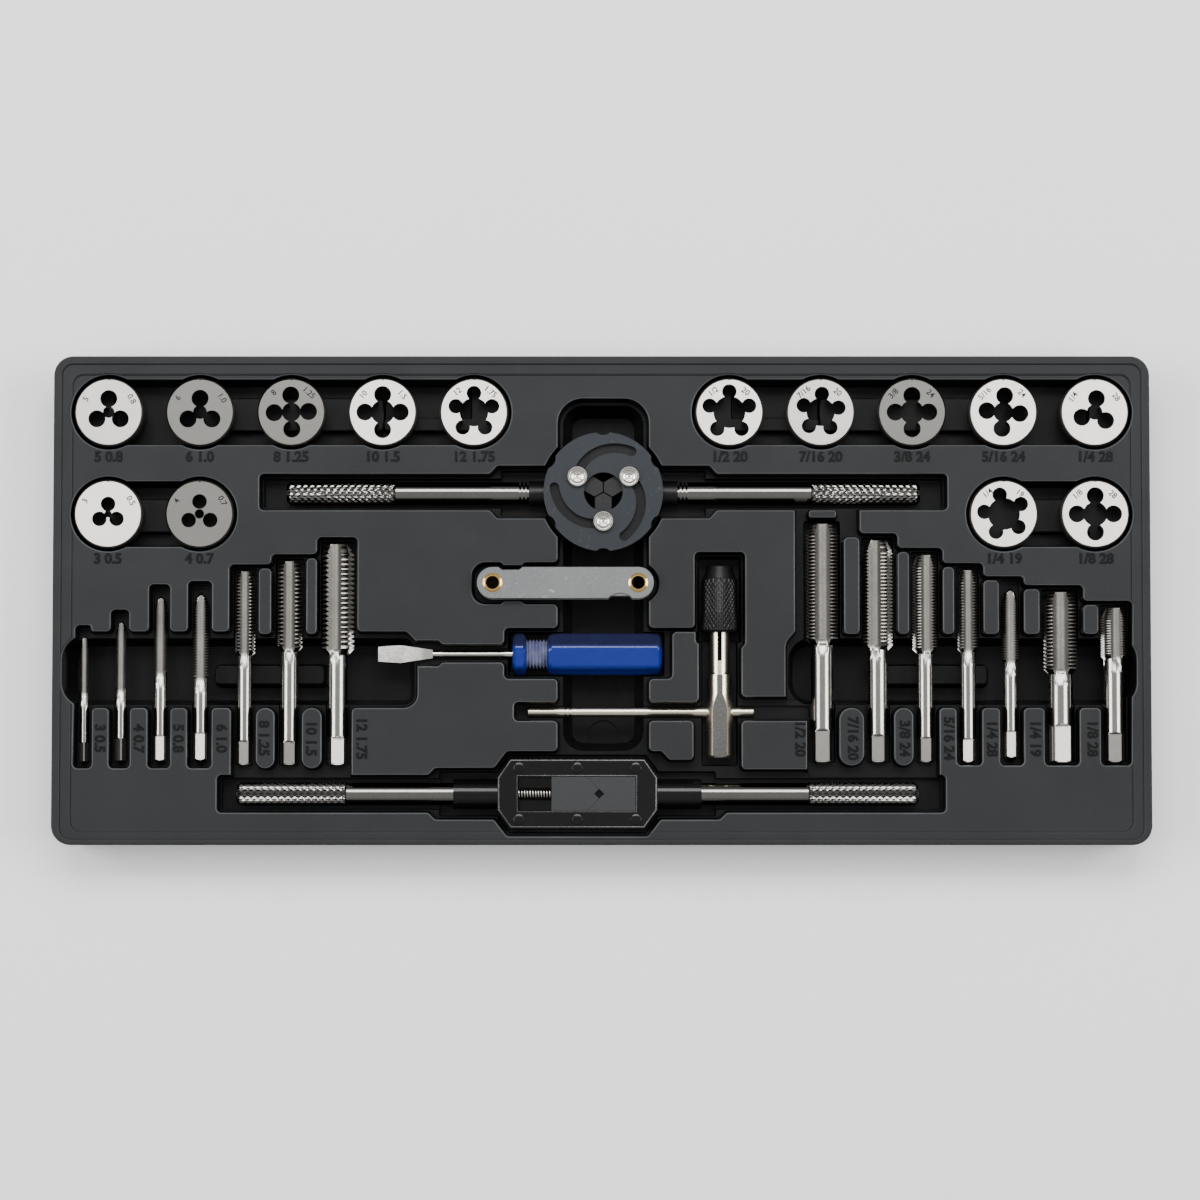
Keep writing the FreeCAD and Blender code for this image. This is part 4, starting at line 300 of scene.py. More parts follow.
def tap_columns(flutes, flute_half, flute_turn, square_turn):
    """Angles round a tap: close together at the flutes' edges and at the square's corners."""
    in_flute = flute_half * np.array((-1.02, -0.98, -0.8, -0.55, -0.28, 0, 0.28, 0.55, 0.8, 0.98, 1.02))
    land_middle = math.pi / flutes
    edge = 1.02 * flute_half
    one = np.concatenate((in_flute, (land_middle, (land_middle + edge) / 2, (3 * land_middle - edge) / 2)))
    centres = math.radians(90 + flute_turn) + turn * np.arange(flutes) / flutes
    corner = math.pi / 4 - math.acos(tap_square_share)
    corners = math.radians(square_turn) + math.pi / 4 + turn * np.arange(4)[:, None] / 4
    flats = corners + np.array((-corner, corner))
    angles = np.concatenate(((centres[:, None] + one).ravel(), flats.ravel())) % turn
    angles = np.unique(angles.round(4))
    return np.append(angles, angles[0] + turn)


def tap_mesh(name, tap, x, foot_y, length):
    """Fluted thread, shank and square end as one surface.

    The radius at a place along the tap and an angle round it is the smallest of the turned outline, the
    thread's ridge, the near wall of a round flute and the square's flats. Past the thread the flute's
    depth fades to nothing over its run-out. Rows follow the thread's helix, four to a pitch, so crests and
    roots run along them."""
    thread, pitch, threaded, shank, square, flutes, flute_turn, square_turn, square_painted_glare = tap[1:10]
    pointed = flutes == 3
    radius, shank_radius = thread / 2, shank / 2
    half_square = shank_radius * tap_square_share
    lead_radius = radius * tap_lead_share
    point = lead_radius if pointed else 0
    neck = abs(radius - shank_radius)
    thread_start = length - threaded
    foot = ((0, 0), (half_square, shank_radius)) if pointed else (
        (0, shank_radius - tap_foot_break), (tap_foot_break, shank_radius))
    outline = np.array(foot + (
        (thread_start - neck, shank_radius), (thread_start, radius), (length - tap_lead - point, radius),
        (length - point, lead_radius)) + (((length, 0),) if pointed else ()))
    web = radius * tap_web_share
    flute = (radius - web) * (1 if pointed else tap_flute_share)
    reach = web + flute
    angles = tap_columns(flutes, math.asin(flute / reach), flute_turn, square_turn)
    along, ridge = helix_rows(length, pitch, (0.0, 0.14, 0.42, 0.72), angles[-1] - angles)
    for edge in (*outline[:, 0], square):
        along = np.where(np.abs(along - edge) < 0.12 * pitch, edge, along)
    turned = np.interp(along, outline[:, 0], outline[:, 1])
    cut = radius - tap_thread_depth * pitch * (1 - ridge)
    surface = np.minimum(turned, np.where(along > thread_start, cut, np.inf))
    first = math.radians(90 + flute_turn)
    off = (angles - first + math.pi / flutes) % (turn / flutes) - math.pi / flutes
    fade = np.clip(1 - (thread_start - along) / tap_run_out, 0, 1)
    across = reach * np.sin(off)
    deep = reach * np.cos(off) - np.sqrt(np.maximum(flute ** 2 - across ** 2, 0))
    in_flute = (np.abs(across) < flute) & (deep < surface) & (fade > 0)
    surface = np.where(in_flute, surface - (surface - deep) * fade ** 1.5, surface)
    around = angles - math.radians(square_turn)
    flat = half_square / np.maximum(np.abs(np.cos(around)), np.abs(np.sin(around)))
    flat = flat + np.maximum(along - square, 0)
    on_flat = flat < surface
    surface = np.where(on_flat, flat, surface)
    # Roots at -0.5 take a dark that is partly oil and partly painted shade
    on_thread = np.where(ridge > 0.5, 0.24, -0.5)
    finish = np.where(along > thread_start, on_thread, 0.0)
    finish = np.where(in_flute, np.interp(along, (thread_start - 1.5, thread_start), (0.04, 0.5)), finish)
    # Squares above 0.5 get a painted white glare that stands in for light caught by their flats
    finish = np.where(on_flat, square_painted_glare, finish)
    along, surface = with_poles(along, surface, length)
    finish = np.vstack((finish[:1], finish, finish[-1:]))
    points = on_axis((x, foot_y, tap_axis_z), (0, 1, 0), along, surface, math.pi - angles)
    return grid_mesh(name, points, values=finish, sharp=32)


# Screwdriver handle

def handle_mesh(name):
    """Six-sided grip, ribbed round neck and six-sided head as one surface.

    At each place along the handle the outline is a hexagon h / cos(angle from the nearest facet), cut by a
    round of the local radius. Six ribs on the neck follow a sine. The finish attribute is 0.5 on the two
    far facets, which get painted shade, 1 on the neck, which is coloured paler, and 0 elsewhere."""
    flats, butt, neck, ribs = 6.9, 3.4, 5.4, 6
    front, _, _, rear, _, _ = box_mm("driver_handle")
    grip_end, head_start = -19.7, -27.3
    rows = [(rear, 0.0, 0.0)]
    rows.extend((rear - 1.9 * (1 - math.cos(a)), butt + 4.2 * math.sin(a),
                 butt + (flats - butt) * math.sin(a)) for a in np.linspace(0, 1, 9) * math.pi / 2)
    rows.extend(((grip_end + 1.7, 7.6, flats), (grip_end + 0.6, 6.9, 6.6), (grip_end, neck + 0.4, 9.0)))
    rows.extend((grip_end + s * (head_start - grip_end), neck - 0.35 + 0.35 * math.cos(turn * ribs * s), 9.0)
                for s in np.linspace(0, 1, 8 * ribs + 1)[1:-1])
    rows.extend(((head_start, neck + 0.4, 9.0), (head_start - 0.5, 7.0, 6.6), (head_start - 1.1, 7.6, flats),
                 (front + 1.1, 7.6, flats), (front + 0.3, 6.9, 6.4), (front, 6.2, 5.8), (front, 0.0, 0.0)))
    along, round_radius, half = (np.array(column)[:, None] for column in zip(*rows))
    angles = turn * np.arange(109) / 108 + math.radians(10)
    facet = turn / 6
    first = math.radians(40)
    off = (angles - first + facet / 2) % facet - facet / 2
    radius = np.minimum(round_radius, half / np.cos(off))
    number = ((angles - first + facet / 2) // facet) % 6
    # The two far facets are marked for painted shade
    far = (number == 0) | (number == 5)
    on_neck = (along < grip_end) & (along > head_start)
    finish = np.where(on_neck, 1.0, np.where(far, 0.5, 0.0))
    points = on_axis((0, driver_axis_y, t_axis[2]), (1, 0, 0), along, radius, angles)
    return grid_mesh(name, points, values=finish, sharp=24)


# Knurled and threaded pieces

def turned_mesh(name, origin, direction, profile, teeth=48, knurl=None, pitch=1.0, depth=0.0,
                round_trip=False):
    """Turned piece with a diamond knurl between two places of its profile.

    profile holds (along, radius) points. Between the two places named by knurl, the radius falls by depth
    times the larger of two triangle waves, one along each diagonal, which leaves pointed diamonds."""
    rows = [profile[0]]
    rough = [0.0]
    for before, after in zip(profile, profile[1:]):
        run = after[0] - before[0]
        in_knurl = knurl and min(before[0], after[0]) >= knurl[0] - 1e-6 \
            and max(before[0], after[0]) <= knurl[1] + 1e-6 and abs(run) > pitch / 4
        steps = max(1, round(abs(run) / pitch * 4)) if in_knurl else 1
        shares = np.arange(1, steps + 1) / steps
        rows.extend(zip(before[0] + shares * run, before[1] + shares * (after[1] - before[1])))
        rough.extend([1.0 if in_knurl else 0.0] * steps)
    rows, rough = np.array(rows), np.array(rough)[:, None]
    columns = teeth * 4 if knurl else teeth
    angles = turn * np.arange(columns + 1) / columns
    around = teeth * angles[None, :] / turn
    lengthwise = rows[:, :1] / pitch
    valley = np.maximum(wave(around + lengthwise), wave(around - lengthwise))
    radius = np.maximum(rows[:, 1:] - depth * rough * valley, 0)
    points = on_axis(origin, direction, rows[:, :1], radius, angles)
    return grid_mesh(name, points, round_trip=round_trip, sharp=20, diamonds=bool(knurl))


def knurled_handle(name, origin, direction, root, end, rod, grip_length, grip_radius, knurl):
    """Handle: its root's profile, a plain rod, and a wider knurled grip whose two ends are chamfered."""
    grip, chamfer = end - grip_length, 1.2
    span = (grip + 0.4, end - chamfer)
    profile = [*root, (root[-1][0], rod), (grip, rod), (grip, grip_radius - 0.3), (span[0], grip_radius),
               (span[1], grip_radius), (end, grip_radius - chamfer), (end, 0)]
    return turned_mesh(name, origin, direction, profile, knurl.teeth, span, knurl.pitch / mm,
                       knurl.depth / mm)


def dished_screw_mesh(name, node):
    """Round-headed screw in a node's place: its top is dished inside a rim, with a low turned dome in it."""
    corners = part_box(node)
    centre = (corners[0] + corners[1]) / 2 / mm
    low, top = (corner.z / mm for corner in corners)
    profile = [(low, 0), (low, 1.5), (screw_seat_z, 1.5), (screw_seat_z, 3.5), (screw_seat_z + 0.2, 3.7)]
    profile.extend((top - down, radius) for down, radius in (
        (0.25, 3.7), (0, 3.5), (0, 3.1), (0.12, 2.95), (1.1, 2.7), (1.1, 2.4), (0.85, 2.15), (0.7, 1.8),
        (0.76, 1.6), (0.55, 1.3), (0.6, 1.1), (0.45, 0.8), (0.55, 0.5), (0.5, 0)))
    return turned_mesh(name, (centre[0], centre[1], 0), (0, 0, 1), profile)


def screw_mesh(name, origin, direction, length, radius, pitch, depth):
    """Plain screw: rows follow the helix, two at the root and two at the crest of every pitch."""
    angles = turn * np.arange(33) / 32
    along, ridge = helix_rows(length, pitch, (0.0, 0.14, 0.5, 0.64), angles)
    surface = np.broadcast_to(radius - depth * (1 - ridge), along.shape)
    # Roots at -0.5 take a dark that is partly oil and partly painted shade
    values = np.pad(np.broadcast_to(0.5 * ridge - 0.5, along.shape), ((1, 1), (0, 0)))
    along, surface = with_poles(along, surface, length)
    return grid_mesh(name, on_axis(origin, direction, along, surface, angles), values=values, sharp=30)


def bead_mesh(name, path, inset, width, low, high):
    """Low bead inside a closed path of corners, mitred at each of them.

    A corner's points lie off it along the sum of its two sides' normals over one plus their product."""
    corners = np.array(path, float)
    sides = np.roll(corners, -1, axis=0) - corners
    normals = np.stack((sides[:, 1], -sides[:, 0]), axis=-1) / np.linalg.norm(sides, axis=1)[:, None]
    before = np.roll(normals, 1, axis=0)
    mitres = (normals + before) / (1 + (normals * before).sum(axis=1))[:, None]
    off = width * np.array((-0.5, -0.5, -0.2, 0.2, 0.5, 0.5, -0.5)) - inset
    level = low + (high - low) * np.array((0, 0.6, 1, 1, 0.6, 0, 0))
    flat = corners[:, None] + off[:, None] * mitres[:, None]
    level = np.broadcast_to(level[:, None], (len(corners), len(off), 1))
    return grid_mesh(name, np.concatenate((flat, level), axis=-1), round_trip=True)


def notch_mesh(centre, top):
    """Dark half-round notch on a die's rim, laid just over its face and its broken edge."""
    angles, shares = np.meshgrid(turn * np.arange(25) / 24, (0.0, 0.35, 0.7, 1.0))
    x = die_notch * shares * np.cos(angles)
    y = np.minimum(die_radius + die_notch * shares * np.sin(angles) * 0.8, die_radius + 0.02)
    outward = np.hypot(x, y)
    z = top / mm + 0.03 - np.maximum(outward - die_radius + die_edge, 0)
    points = np.stack((x + centre.x / mm, y + centre.y / mm, z), axis=-1)
    return grid_mesh("notch", points)


# Numbers

def number_mesh(words, height, rise, place, bearing, level, bevel, thicker):
    """Mesh of one number, standing rise above level and turned by bearing about the vertical."""
    curve = bpy.data.curves.new("number", "FONT")
    curve.body = words
    curve.size = height / 0.7
    curve.align_x = curve.align_y = "CENTER"
    curve.extrude = (rise + number_root * mm) / 2 - bevel
    curve.bevel_depth = bevel
    curve.bevel_resolution = 0
    curve.resolution_u = 3
    curve.offset = thicker
    holder = new_object("number", curve)
    bpy.context.view_layer.update()
    mesh = bpy.data.meshes.new_from_object(holder.evaluated_get(bpy.context.evaluated_depsgraph_get()))
    bpy.data.objects.remove(holder)
    bpy.data.curves.remove(curve)
    low = level + (rise - number_root * mm) / 2
    mesh.transform(Matrix.Translation(Vector((*place, low))) @ Matrix.Rotation(bearing, 4, "Z"))
    return mesh


def joined(name, meshes):
    """One mesh from several, with the scratch ones removed."""
    result = bpy.data.meshes.new(name)
    merge_into(result, meshes, 1e-7)
    for mesh in meshes:
        bpy.data.meshes.remove(mesh)
    return result


# Shared node groups

def new_group(name, setting, value, *outputs):
    """Empty group that takes a place and a setting and gives numbers, with its inner sockets."""
    group = bpy.data.node_groups.new(name, "ShaderNodeTree")
    kind = "NodeSocketVector" if isinstance(value, tuple) else "NodeSocketFloat"
    group.interface.new_socket(name="Place", in_out="INPUT", socket_type="NodeSocketVector")
    group.interface.new_socket(name=setting, in_out="INPUT", socket_type=kind).default_value = value
    for label in outputs:
        group.interface.new_socket(name=label, in_out="OUTPUT", socket_type="NodeSocketFloat")
    return group, group.nodes.new("NodeGroupInput").outputs, group.nodes.new("NodeGroupOutput").inputs


def feed(tree, value, socket):
    """Links another node's socket to this one, or sets it to a plain value."""
    if isinstance(value, bpy.types.NodeSocket):
        tree.links.new(value, socket)
    else:
        socket.default_value = value


def noise(tree, vector, scale, detail):
    """Noise on a vector. scale is a number or a socket."""
    node = tree.nodes.new("ShaderNodeTexNoise")
    for label, value in (("Vector", vector), ("Scale", scale), ("Detail", detail)):
        feed(tree, value, node.inputs[label])
    return node.outputs["Fac"]


def mapped(tree, value, low, high, to_low=0, to_high=1):
    """Value carried from one span to another and held inside it."""
    node = tree.nodes.new("ShaderNodeMapRange")
    for label, number in (("Value", value), ("From Min", low), ("From Max", high), ("To Min", to_low),
                          ("To Max", to_high)):
        feed(tree, number, node.inputs[label])
    return node.outputs["Result"]


def blended(tree, factor, first, second):
    """Colour between two, each a colour or a socket."""
    node = tree.nodes.new("ShaderNodeMix")
    node.data_type = "RGBA"
    tree.links.new(factor, node.inputs["Factor"])
    for socket, colour in ((node.inputs[6], first), (node.inputs[7], second)):
        feed(tree, colour if isinstance(colour, bpy.types.NodeSocket) else (*colour, 1), socket)
    return node.outputs[2]


def arithmetic(tree, operation, first, second):
    """Math node on two sockets, or on a socket and a number."""
    node = tree.nodes.new("ShaderNodeMath")
    node.operation = operation
    for socket, value in zip(node.inputs, (first, second)):
        feed(tree, value, socket)
    return node.outputs[0]


def times(tree, first, second):
    """Product of two sockets, or of a socket and a number."""
    return arithmetic(tree, "MULTIPLY", first, second)


def weighted(tree, first, share, second):
    """Sum of the first value at its share and the second at the rest."""
    return arithmetic(tree, "ADD", times(tree, first, share), times(tree, second, 1 - share))


def grain_group():
    """Fine even grain with a slow drift of tone."""
    if made := bpy.data.node_groups.get("fine_grain"):
        return made
    group, start, end = new_group("fine_grain", "Scale", 3000.0, "Height", "Tone")
    place, scale = start["Place"], start["Scale"]
    fine = noise(group, place, scale, 4.0)
    broad = noise(group, place, times(group, scale, 0.02), 2.0)
    group.links.new(fine, end["Height"])
    group.links.new(mapped(group, weighted(group, broad, 0.6, fine), 0.3, 0.7), end["Tone"])
    return group


def lines_group():
    """Grinding or turning lines: noise drawn out by a stretch along each axis."""
    if made := bpy.data.node_groups.get("ground_lines"):
        return made
    group, start, end = new_group("ground_lines", "Stretch", (100, 5000, 100), "Height", "Tone")
    scaled = group.nodes.new("ShaderNodeVectorMath")
    scaled.operation = "MULTIPLY"
    group.links.new(start["Place"], scaled.inputs[0])
    group.links.new(start["Stretch"], scaled.inputs[1])
    lines = noise(group, scaled.outputs["Vector"], 1.0, 3.0)
    broad = noise(group, start["Place"], 160.0, 2.0)
    group.links.new(lines, end["Height"])
    group.links.new(mapped(group, weighted(group, lines, 0.55, broad), 0.32, 0.68), end["Tone"])
    return group


def scuff_group():
    """Sparse light scuffs: thin crossings of two slow noises."""
    if made := bpy.data.node_groups.get("scuffs"):
        return made
    group, start, end = new_group("scuffs", "Scale", 90.0, "Mask")
    place, scale = start["Place"], start["Scale"]
    first = noise(group, place, scale, 5.0)
    second = noise(group, place, times(group, scale, 9.0), 2.0)
    off_middle = arithmetic(group, "ABSOLUTE", arithmetic(group, "SUBTRACT", first, 0.5), 0)
    thin = mapped(group, off_middle, 0, 0.012, 1, 0)
    group.links.new(times(group, thin, mapped(group, second, 0.52, 0.66)), end["Mask"])
    return group


# Finishes

def placed(tree, group, settings):
    """Outputs of a shared group, set down in a material on the object's own coordinates."""
    node = tree.nodes.new("ShaderNodeGroup")
    node.node_tree = group
    tree.links.new(tree.nodes.new("ShaderNodeTexCoord").outputs["Object"], node.inputs["Place"])
    for label, value in settings.items():
        node.inputs[label].default_value = value
    return node.outputs


def surface_material(name, group, settings, light, dark, rough, bump, metallic=0.0, specular=0.5,
                     scuffed=0.0, masks=()):
    """Material whose colour, roughness and relief follow a shared group.

    light and dark are the two ends of its colour, rough the two ends of its roughness, bump the depth of
    its relief in metres. Each of masks holds a function that gives a socket from the tree, and the light
    and dark colour and the added roughness where that socket is 1."""
    material = bpy.data.materials.new(name)
    material.use_nodes = True
    tree = material.node_tree
    shader = tree.nodes["Principled BSDF"]
    shader.inputs["Metallic"].default_value = metallic
    shader.inputs["Specular IOR Level"].default_value = specular
    pattern = placed(tree, group, settings)
    tone = pattern["Tone"]
    colour = blended(tree, tone, dark, light)
    roughness = mapped(tree, tone, 0, 1, rough[1], rough[0])
    if scuffed:
        worn = times(tree, placed(tree, scuff_group(), {})["Mask"], scuffed)
        colour = blended(tree, worn, colour, [min(1.0, 3 * c + 0.05) for c in light])
    for mask, over_light, over_dark, rougher in masks:
        share = mask(tree)
        colour = blended(tree, share, colour, blended(tree, tone, over_dark, over_light))
        roughness = arithmetic(tree, "ADD", roughness, times(tree, share, rougher))
    relief = tree.nodes.new("ShaderNodeBump")
    relief.inputs["Distance"].default_value = bump
    for value, socket in ((colour, shader.inputs["Base Color"]), (roughness, shader.inputs["Roughness"]),
                          (pattern["Height"], relief.inputs["Height"]),
                          (relief.outputs["Normal"], shader.inputs["Normal"])):
        tree.links.new(value, socket)
    return material


def grained(name, scale, *looks, **more):
    """Surface with the fine grain at a scale."""
    return surface_material(name, grain_group(), {"Scale": scale}, *looks, **more)


def ground_metal(name, stretch, *looks, metallic=1.0, **more):
    """Metal with grinding or turning lines, stretched along each axis."""
    return surface_material(name, lines_group(), {"Stretch": stretch}, *looks, metallic=metallic, **more)


def finish_and_light_mask(low, high):
    """Mask from the piece's own finish attribute (finishes and painted light and shade), 0 at low and 1 at
    high.
    """
    def mask(tree):
        node = tree.nodes.new("ShaderNodeAttribute")
        node.attribute_name = "finish"
        return mapped(tree, node.outputs["Fac"], low, high)
    return mask


def place_axes(tree, kind="Object"):
    """The three coordinates of a place on the object, in metres, or of another kind of place."""
    axes = tree.nodes.new("ShaderNodeSeparateXYZ")
    tree.links.new(tree.nodes.new("ShaderNodeTexCoord").outputs[kind], axes.inputs["Vector"])
    return axes.outputs


def ramp(axis, low, high, *ends):
    """Mask that runs along an axis between two places in millimetres, from 0 to 1 or between its ends."""
    def mask(tree):
        return mapped(tree, place_axes(tree)[axis], low * mm, high * mm, *ends)
    return mask


def below(height):
    """Mask that is 1 below a height in millimetres."""
    return ramp("Z", height - 0.05, height, 1, 0)


def edge_highlight_mask(tree):
    """Mask of the pockets' rounded top edges, just under the deck, where a highlight is painted."""
    rise = ramp("Z", deck_z - 0.62, deck_z - 0.42)(tree)
    return times(tree, rise, ramp("Z", deck_z - 0.12, deck_z - 0.02, 1, 0)(tree))


def recess_shade_mask(tree):
    """Mask of the pockets' walls and floors, below the deck and inside the rim, where shade is painted."""
    share = ramp("Z", deck_z - 1.6, deck_z - 0.5, 1, 0)(tree)
    for axis, edge in zip("XY", rim_edges):
        out = arithmetic(tree, "ABSOLUTE", place_axes(tree)[axis], 0)
        share = times(tree, share, mapped(tree, out, (edge - 0.5) * mm, edge * mm, 1, 0))
    return share


def tinted(colour, share):
    """Colour made darker or lighter by a share."""
    return [min(1.0, c * share) for c in colour]


def shades(colour, light, dark):
    """A colour's light and dark tints."""
    return tinted(colour, light), tinted(colour, dark)


def tray_plastic(settings):
    """Satin black moulding with a fine grain, with painted shade in its recesses and a painted highlight
    along its rounded edges.
    """
    # The first mask paints shade into the recesses, the second paints a highlight along the pockets' rounded
    # top edges
    dark, painted_edge_highlight = shades(settings.plastic, 0.12, 4.5)
    return grained("tray_plastic", 2600.0, *shades(settings.plastic, 1.15, 0.85), (0.42, 0.52), 2e-5,
                   specular=0.17, scuffed=0.05,
                   masks=((recess_shade_mask, dark, tinted(dark, 0.6), -0.08),
                          (edge_highlight_mask, painted_edge_highlight, tinted(painted_edge_highlight, 0.55), -0.12)))


def number_plastic(settings):
    """Darker, glossier plastic of the raised numbers."""
    return grained("number_plastic", 4000.0, *shades(settings.plastic, 0.3, 0.2), (0.3, 0.38), 1e-5,
                   specular=0.15)


def tap_steel(steel):
    """Polished shank, bright crests, roots dark with oil and painted shade, sanded flutes and ground squares,
    some with a painted white glare, in one steel.
    """
    # white is a painted glare on the squares whose flats would catch the light; the dark brown of the roots
    # is partly oil and partly painted shade
    white = tinted(steel.ground, 1.5)
    return ground_metal(
        "tap_steel", (700.0, 3500.0, 700.0), *shades(steel.ground, 0.66, 0.5), (0.14, 0.2), 2e-6,
        masks=((finish_and_light_mask(0.0, 0.5), steel.sanded, tinted(steel.sanded, 0.75), 0.4),
               (finish_and_light_mask(0.5, 1.0), white, tinted(white, 0.85), -0.08),
               (finish_and_light_mask(-0.02, -0.4), (0.055, 0.046, 0.036), (0.03, 0.026, 0.022), 0.2)))


def die_steel(steel, finish):
    """Surface-ground face over a darker rim and bore. Bright, plain or dull, the face's colour is partly its
    grinding and partly a painted reflection of the lights.
    """
    # Lit and shaded copies of one face steel: share brightens or darkens each face for the light it is
    # painted to catch
    share = {"bright": 1.5, "plain": 1.05, "dull": 0.36}[finish]
    rough = (0.3, 0.38) if finish == "dull" else (0.42, 0.48)
    side = tinted(steel.sanded, 0.8)
    rim = (below(die_face_z), side, tinted(side, 0.7), -0.1)
    return ground_metal("die_steel_" + finish, (120.0, 5200.0, 120.0),
                        *shades(steel.ground, share, 0.85 * share), rough, 3e-6, masks=(rim,))


def engraved_black(steel):
    """Dark bottom of the engraved numbers and the rims' notches."""
    return grained("engraved_black", 5000.0, *shades(steel.black, 1.2, 0.6), (0.5, 0.7), 5e-6, specular=0.2)


def black_satin(steel):
    """Blackened steel with a low sheen."""
    return grained("black_satin", 5200.0, *shades(steel.black, 0.45, 0.25), (0.3, 0.4), 6e-6, specular=0.25,
                   scuffed=0.1)


def blued_steel(steel):
    """Blue-grey heat-blackened sheet, black below its face."""
    blue = (0.026, 0.030, 0.035)
    edge = (below(plate_face_z), *shades(steel.black, 1, 0.4), 0.0)
    return grained("blued_steel", 1100.0, *shades(blue, 1, 0.7), (0.3, 0.42), 6e-6, metallic=0.4,
                   specular=0.35, scuffed=0.25, masks=(edge,))


def black_gloss(steel):
    """Glossy black enamel."""
    return grained("black_gloss", 900.0, *shades(steel.black, 0.3, 0.15), (0.12, 0.18), 3e-6, specular=0.32,
                   scuffed=0.08)


def cover_edge_glint():
    """Paler uneven metal along the cover's edges: a painted highlight in place of the light its edges catch.
    """
    return grained("cover_edge_glint", 500.0, (0.13, 0.13, 0.13), (0.02, 0.02, 0.02), (0.2, 0.35), 3e-6,
                   metallic=0.9)


def dark_steel():
    """Dark oiled steel of the guides."""
    return ground_metal("dark_steel", (900.0, 900.0, 2500.0), (0.034, 0.034, 0.035), (0.022, 0.022, 0.023),
                        (0.3, 0.42), 5e-6, metallic=0.8)


def turned_steel(steel):
    """Bright turned steel with dark streaks."""
    return grained("turned_steel", 900.0, *shades(steel.ground, 1.3, 0.6), (0.14, 0.3), 1e-5, metallic=1.0)


def jaw_steel():
    """Dark grey ground jaws."""
    return ground_metal("jaw_grey", (400.0, 4200.0, 400.0), (0.062, 0.064, 0.066), (0.048, 0.050, 0.052),
                        (0.36, 0.46), 6e-6)


def bright_steel(steel, name="bright_steel", rough=(0.12, 0.2), share=1.25):
    """Bright turned steel."""
    return ground_metal(name, (2600.0, 500.0, 500.0), *shades(steel.ground, share, 0.84 * share), rough,
                        2e-6)


def threaded_steel(steel):
    """Bright thread whose roots are dark, partly with oil and partly with painted shade."""
    oil_and_shade = (finish_and_light_mask(-0.05, -0.4), (0.03, 0.028, 0.025), (0.016, 0.015, 0.014), 0.2)
    return grained("threaded_steel", 2400.0, *shades(steel.ground, 1.35, 1), (0.12, 0.2), 2e-6, metallic=1.0,
                   masks=(oil_and_shade,))


def warmed(steel):
    """Ground steel's colour with the warm tint of nickel plate."""
    return [c * w for c, w in zip(steel.ground, (1.2, 1.12, 0.97))]


def nickel(steel):
    """Warm nickel plate."""
    warm = warmed(steel)
    return grained("warm_nickel", 700.0, *shades(warm, 1.1, 0.9), (0.22, 0.3), 3e-6, metallic=1.0)


def milled_nickel(steel):
    """Warm nickel plate with a coarse dark milled flat on top of the T-handle wrench's body."""
    warm, dark = warmed(steel), tinted(steel.sanded, 0.12)
    flat = ramp("Z", milled_flat_z, milled_flat_z + 0.03)
    return grained("milled_nickel", 1500.0, *shades(warm, 1.1, 0.95), (0.26, 0.34), 3e-5, metallic=1.0,
                   masks=((flat, tinted(steel.sanded, 0.75), dark, 0.1),))


def blue_plastic():
    """Clear blue plastic: royal blue where light comes back, with painted shade on the far facets, pale on
    the ribbed neck.
    """
    return grained("clear_blue", 300.0, (0.006, 0.021, 0.195), (0.004, 0.015, 0.155), (0.05, 0.08), 3e-6,
                   specular=0.4,
                   masks=((finish_and_light_mask(0.0, 0.5), (0.018, 0.021, 0.06), (0.009, 0.010, 0.036), 0.0),
                          (finish_and_light_mask(0.5, 1.0), (0.22, 0.23, 0.33), (0.03, 0.032, 0.12), 0.0)))


def ground_blade(steel):
    """Bright round shaft whose flattened tip shows slanting grinding marks."""
    white = tinted(steel.ground, 1.45)
    tip = (ramp("X", *blade_tip, 1, 0), *shades(white, 0.85, 0.3), 0.26)
    return ground_metal("ground_blade", (900.0, 2600.0, 900.0), *shades(steel.ground, 1.2, 1.0), (0.14, 0.2),
                        6e-6, masks=(tip,))


def gauge_steel():
    """Mottled satin sheet steel."""
    return grained("gauge_steel", 1300.0, (0.265, 0.268, 0.270), (0.150, 0.153, 0.156), (0.3, 0.42), 4e-6,
                   metallic=1.0, scuffed=0.35)


def brass():
    """Rolled brass eyelets."""
    return grained("rolled_brass", 1500.0, (0.78, 0.55, 0.2), (0.62, 0.4, 0.13), (0.14, 0.24), 3e-6,
                   metallic=1.0)


def dress(material, *names):
    """Gives carried-over nodes their material."""
    for name in names:
        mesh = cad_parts[name].data
        mesh.materials.clear()
        mesh.materials.append(material)


# Operators

class TAPSET_OT_tray(bpy.types.Operator):
    """Finish the tray and raise the numbers beside its pockets"""

    bl_idname = "tapset.tray"
    bl_label = "Tray"

    def execute(self, context):
        settings = context.scene.tapset_tray
        dress(tray_plastic(settings), "tool_tray")
        marks = [(words, (x * mm, tap_mark_y * mm), math.radians(-90)) for *_, words, x in taps]
        for size, _, _ in dies:
            low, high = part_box("die_" + size)
            place = ((low.x + high.x) / 2, (low.y + high.y) / 2 - die_label_below * mm)
            marks.append((size_words[size], place, 0))
        numbers = [number_mesh(words, settings.mark_height, settings.mark_rise, place, bearing, deck_z * mm,
                               0.08 * mm, 0.1 * mm) for words, place, bearing in marks]
        new_piece(joined("tray_numbers", numbers), number_plastic(settings), "tray", "tray")
        return {"FINISHED"}


class TAPSET_OT_taps(bpy.types.Operator):
    """Cut the threads, flutes and squares of the fourteen taps"""

    bl_idname = "tapset.taps"
    bl_label = "Taps"

    def execute(self, context):
        steel = tap_steel(context.scene.tapset_steel)
        for tap in taps:
            node = "tap_" + tap[0]
            low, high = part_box(node)
            mesh = tap_mesh("threaded_" + node, tap, (low.x + high.x) / 2 / mm, low.y / mm,
                            (high.y - low.y) / mm)
            new_piece(mesh, steel, tap[0] + "_tap", "tap_steel", node)
        return {"FINISHED"}


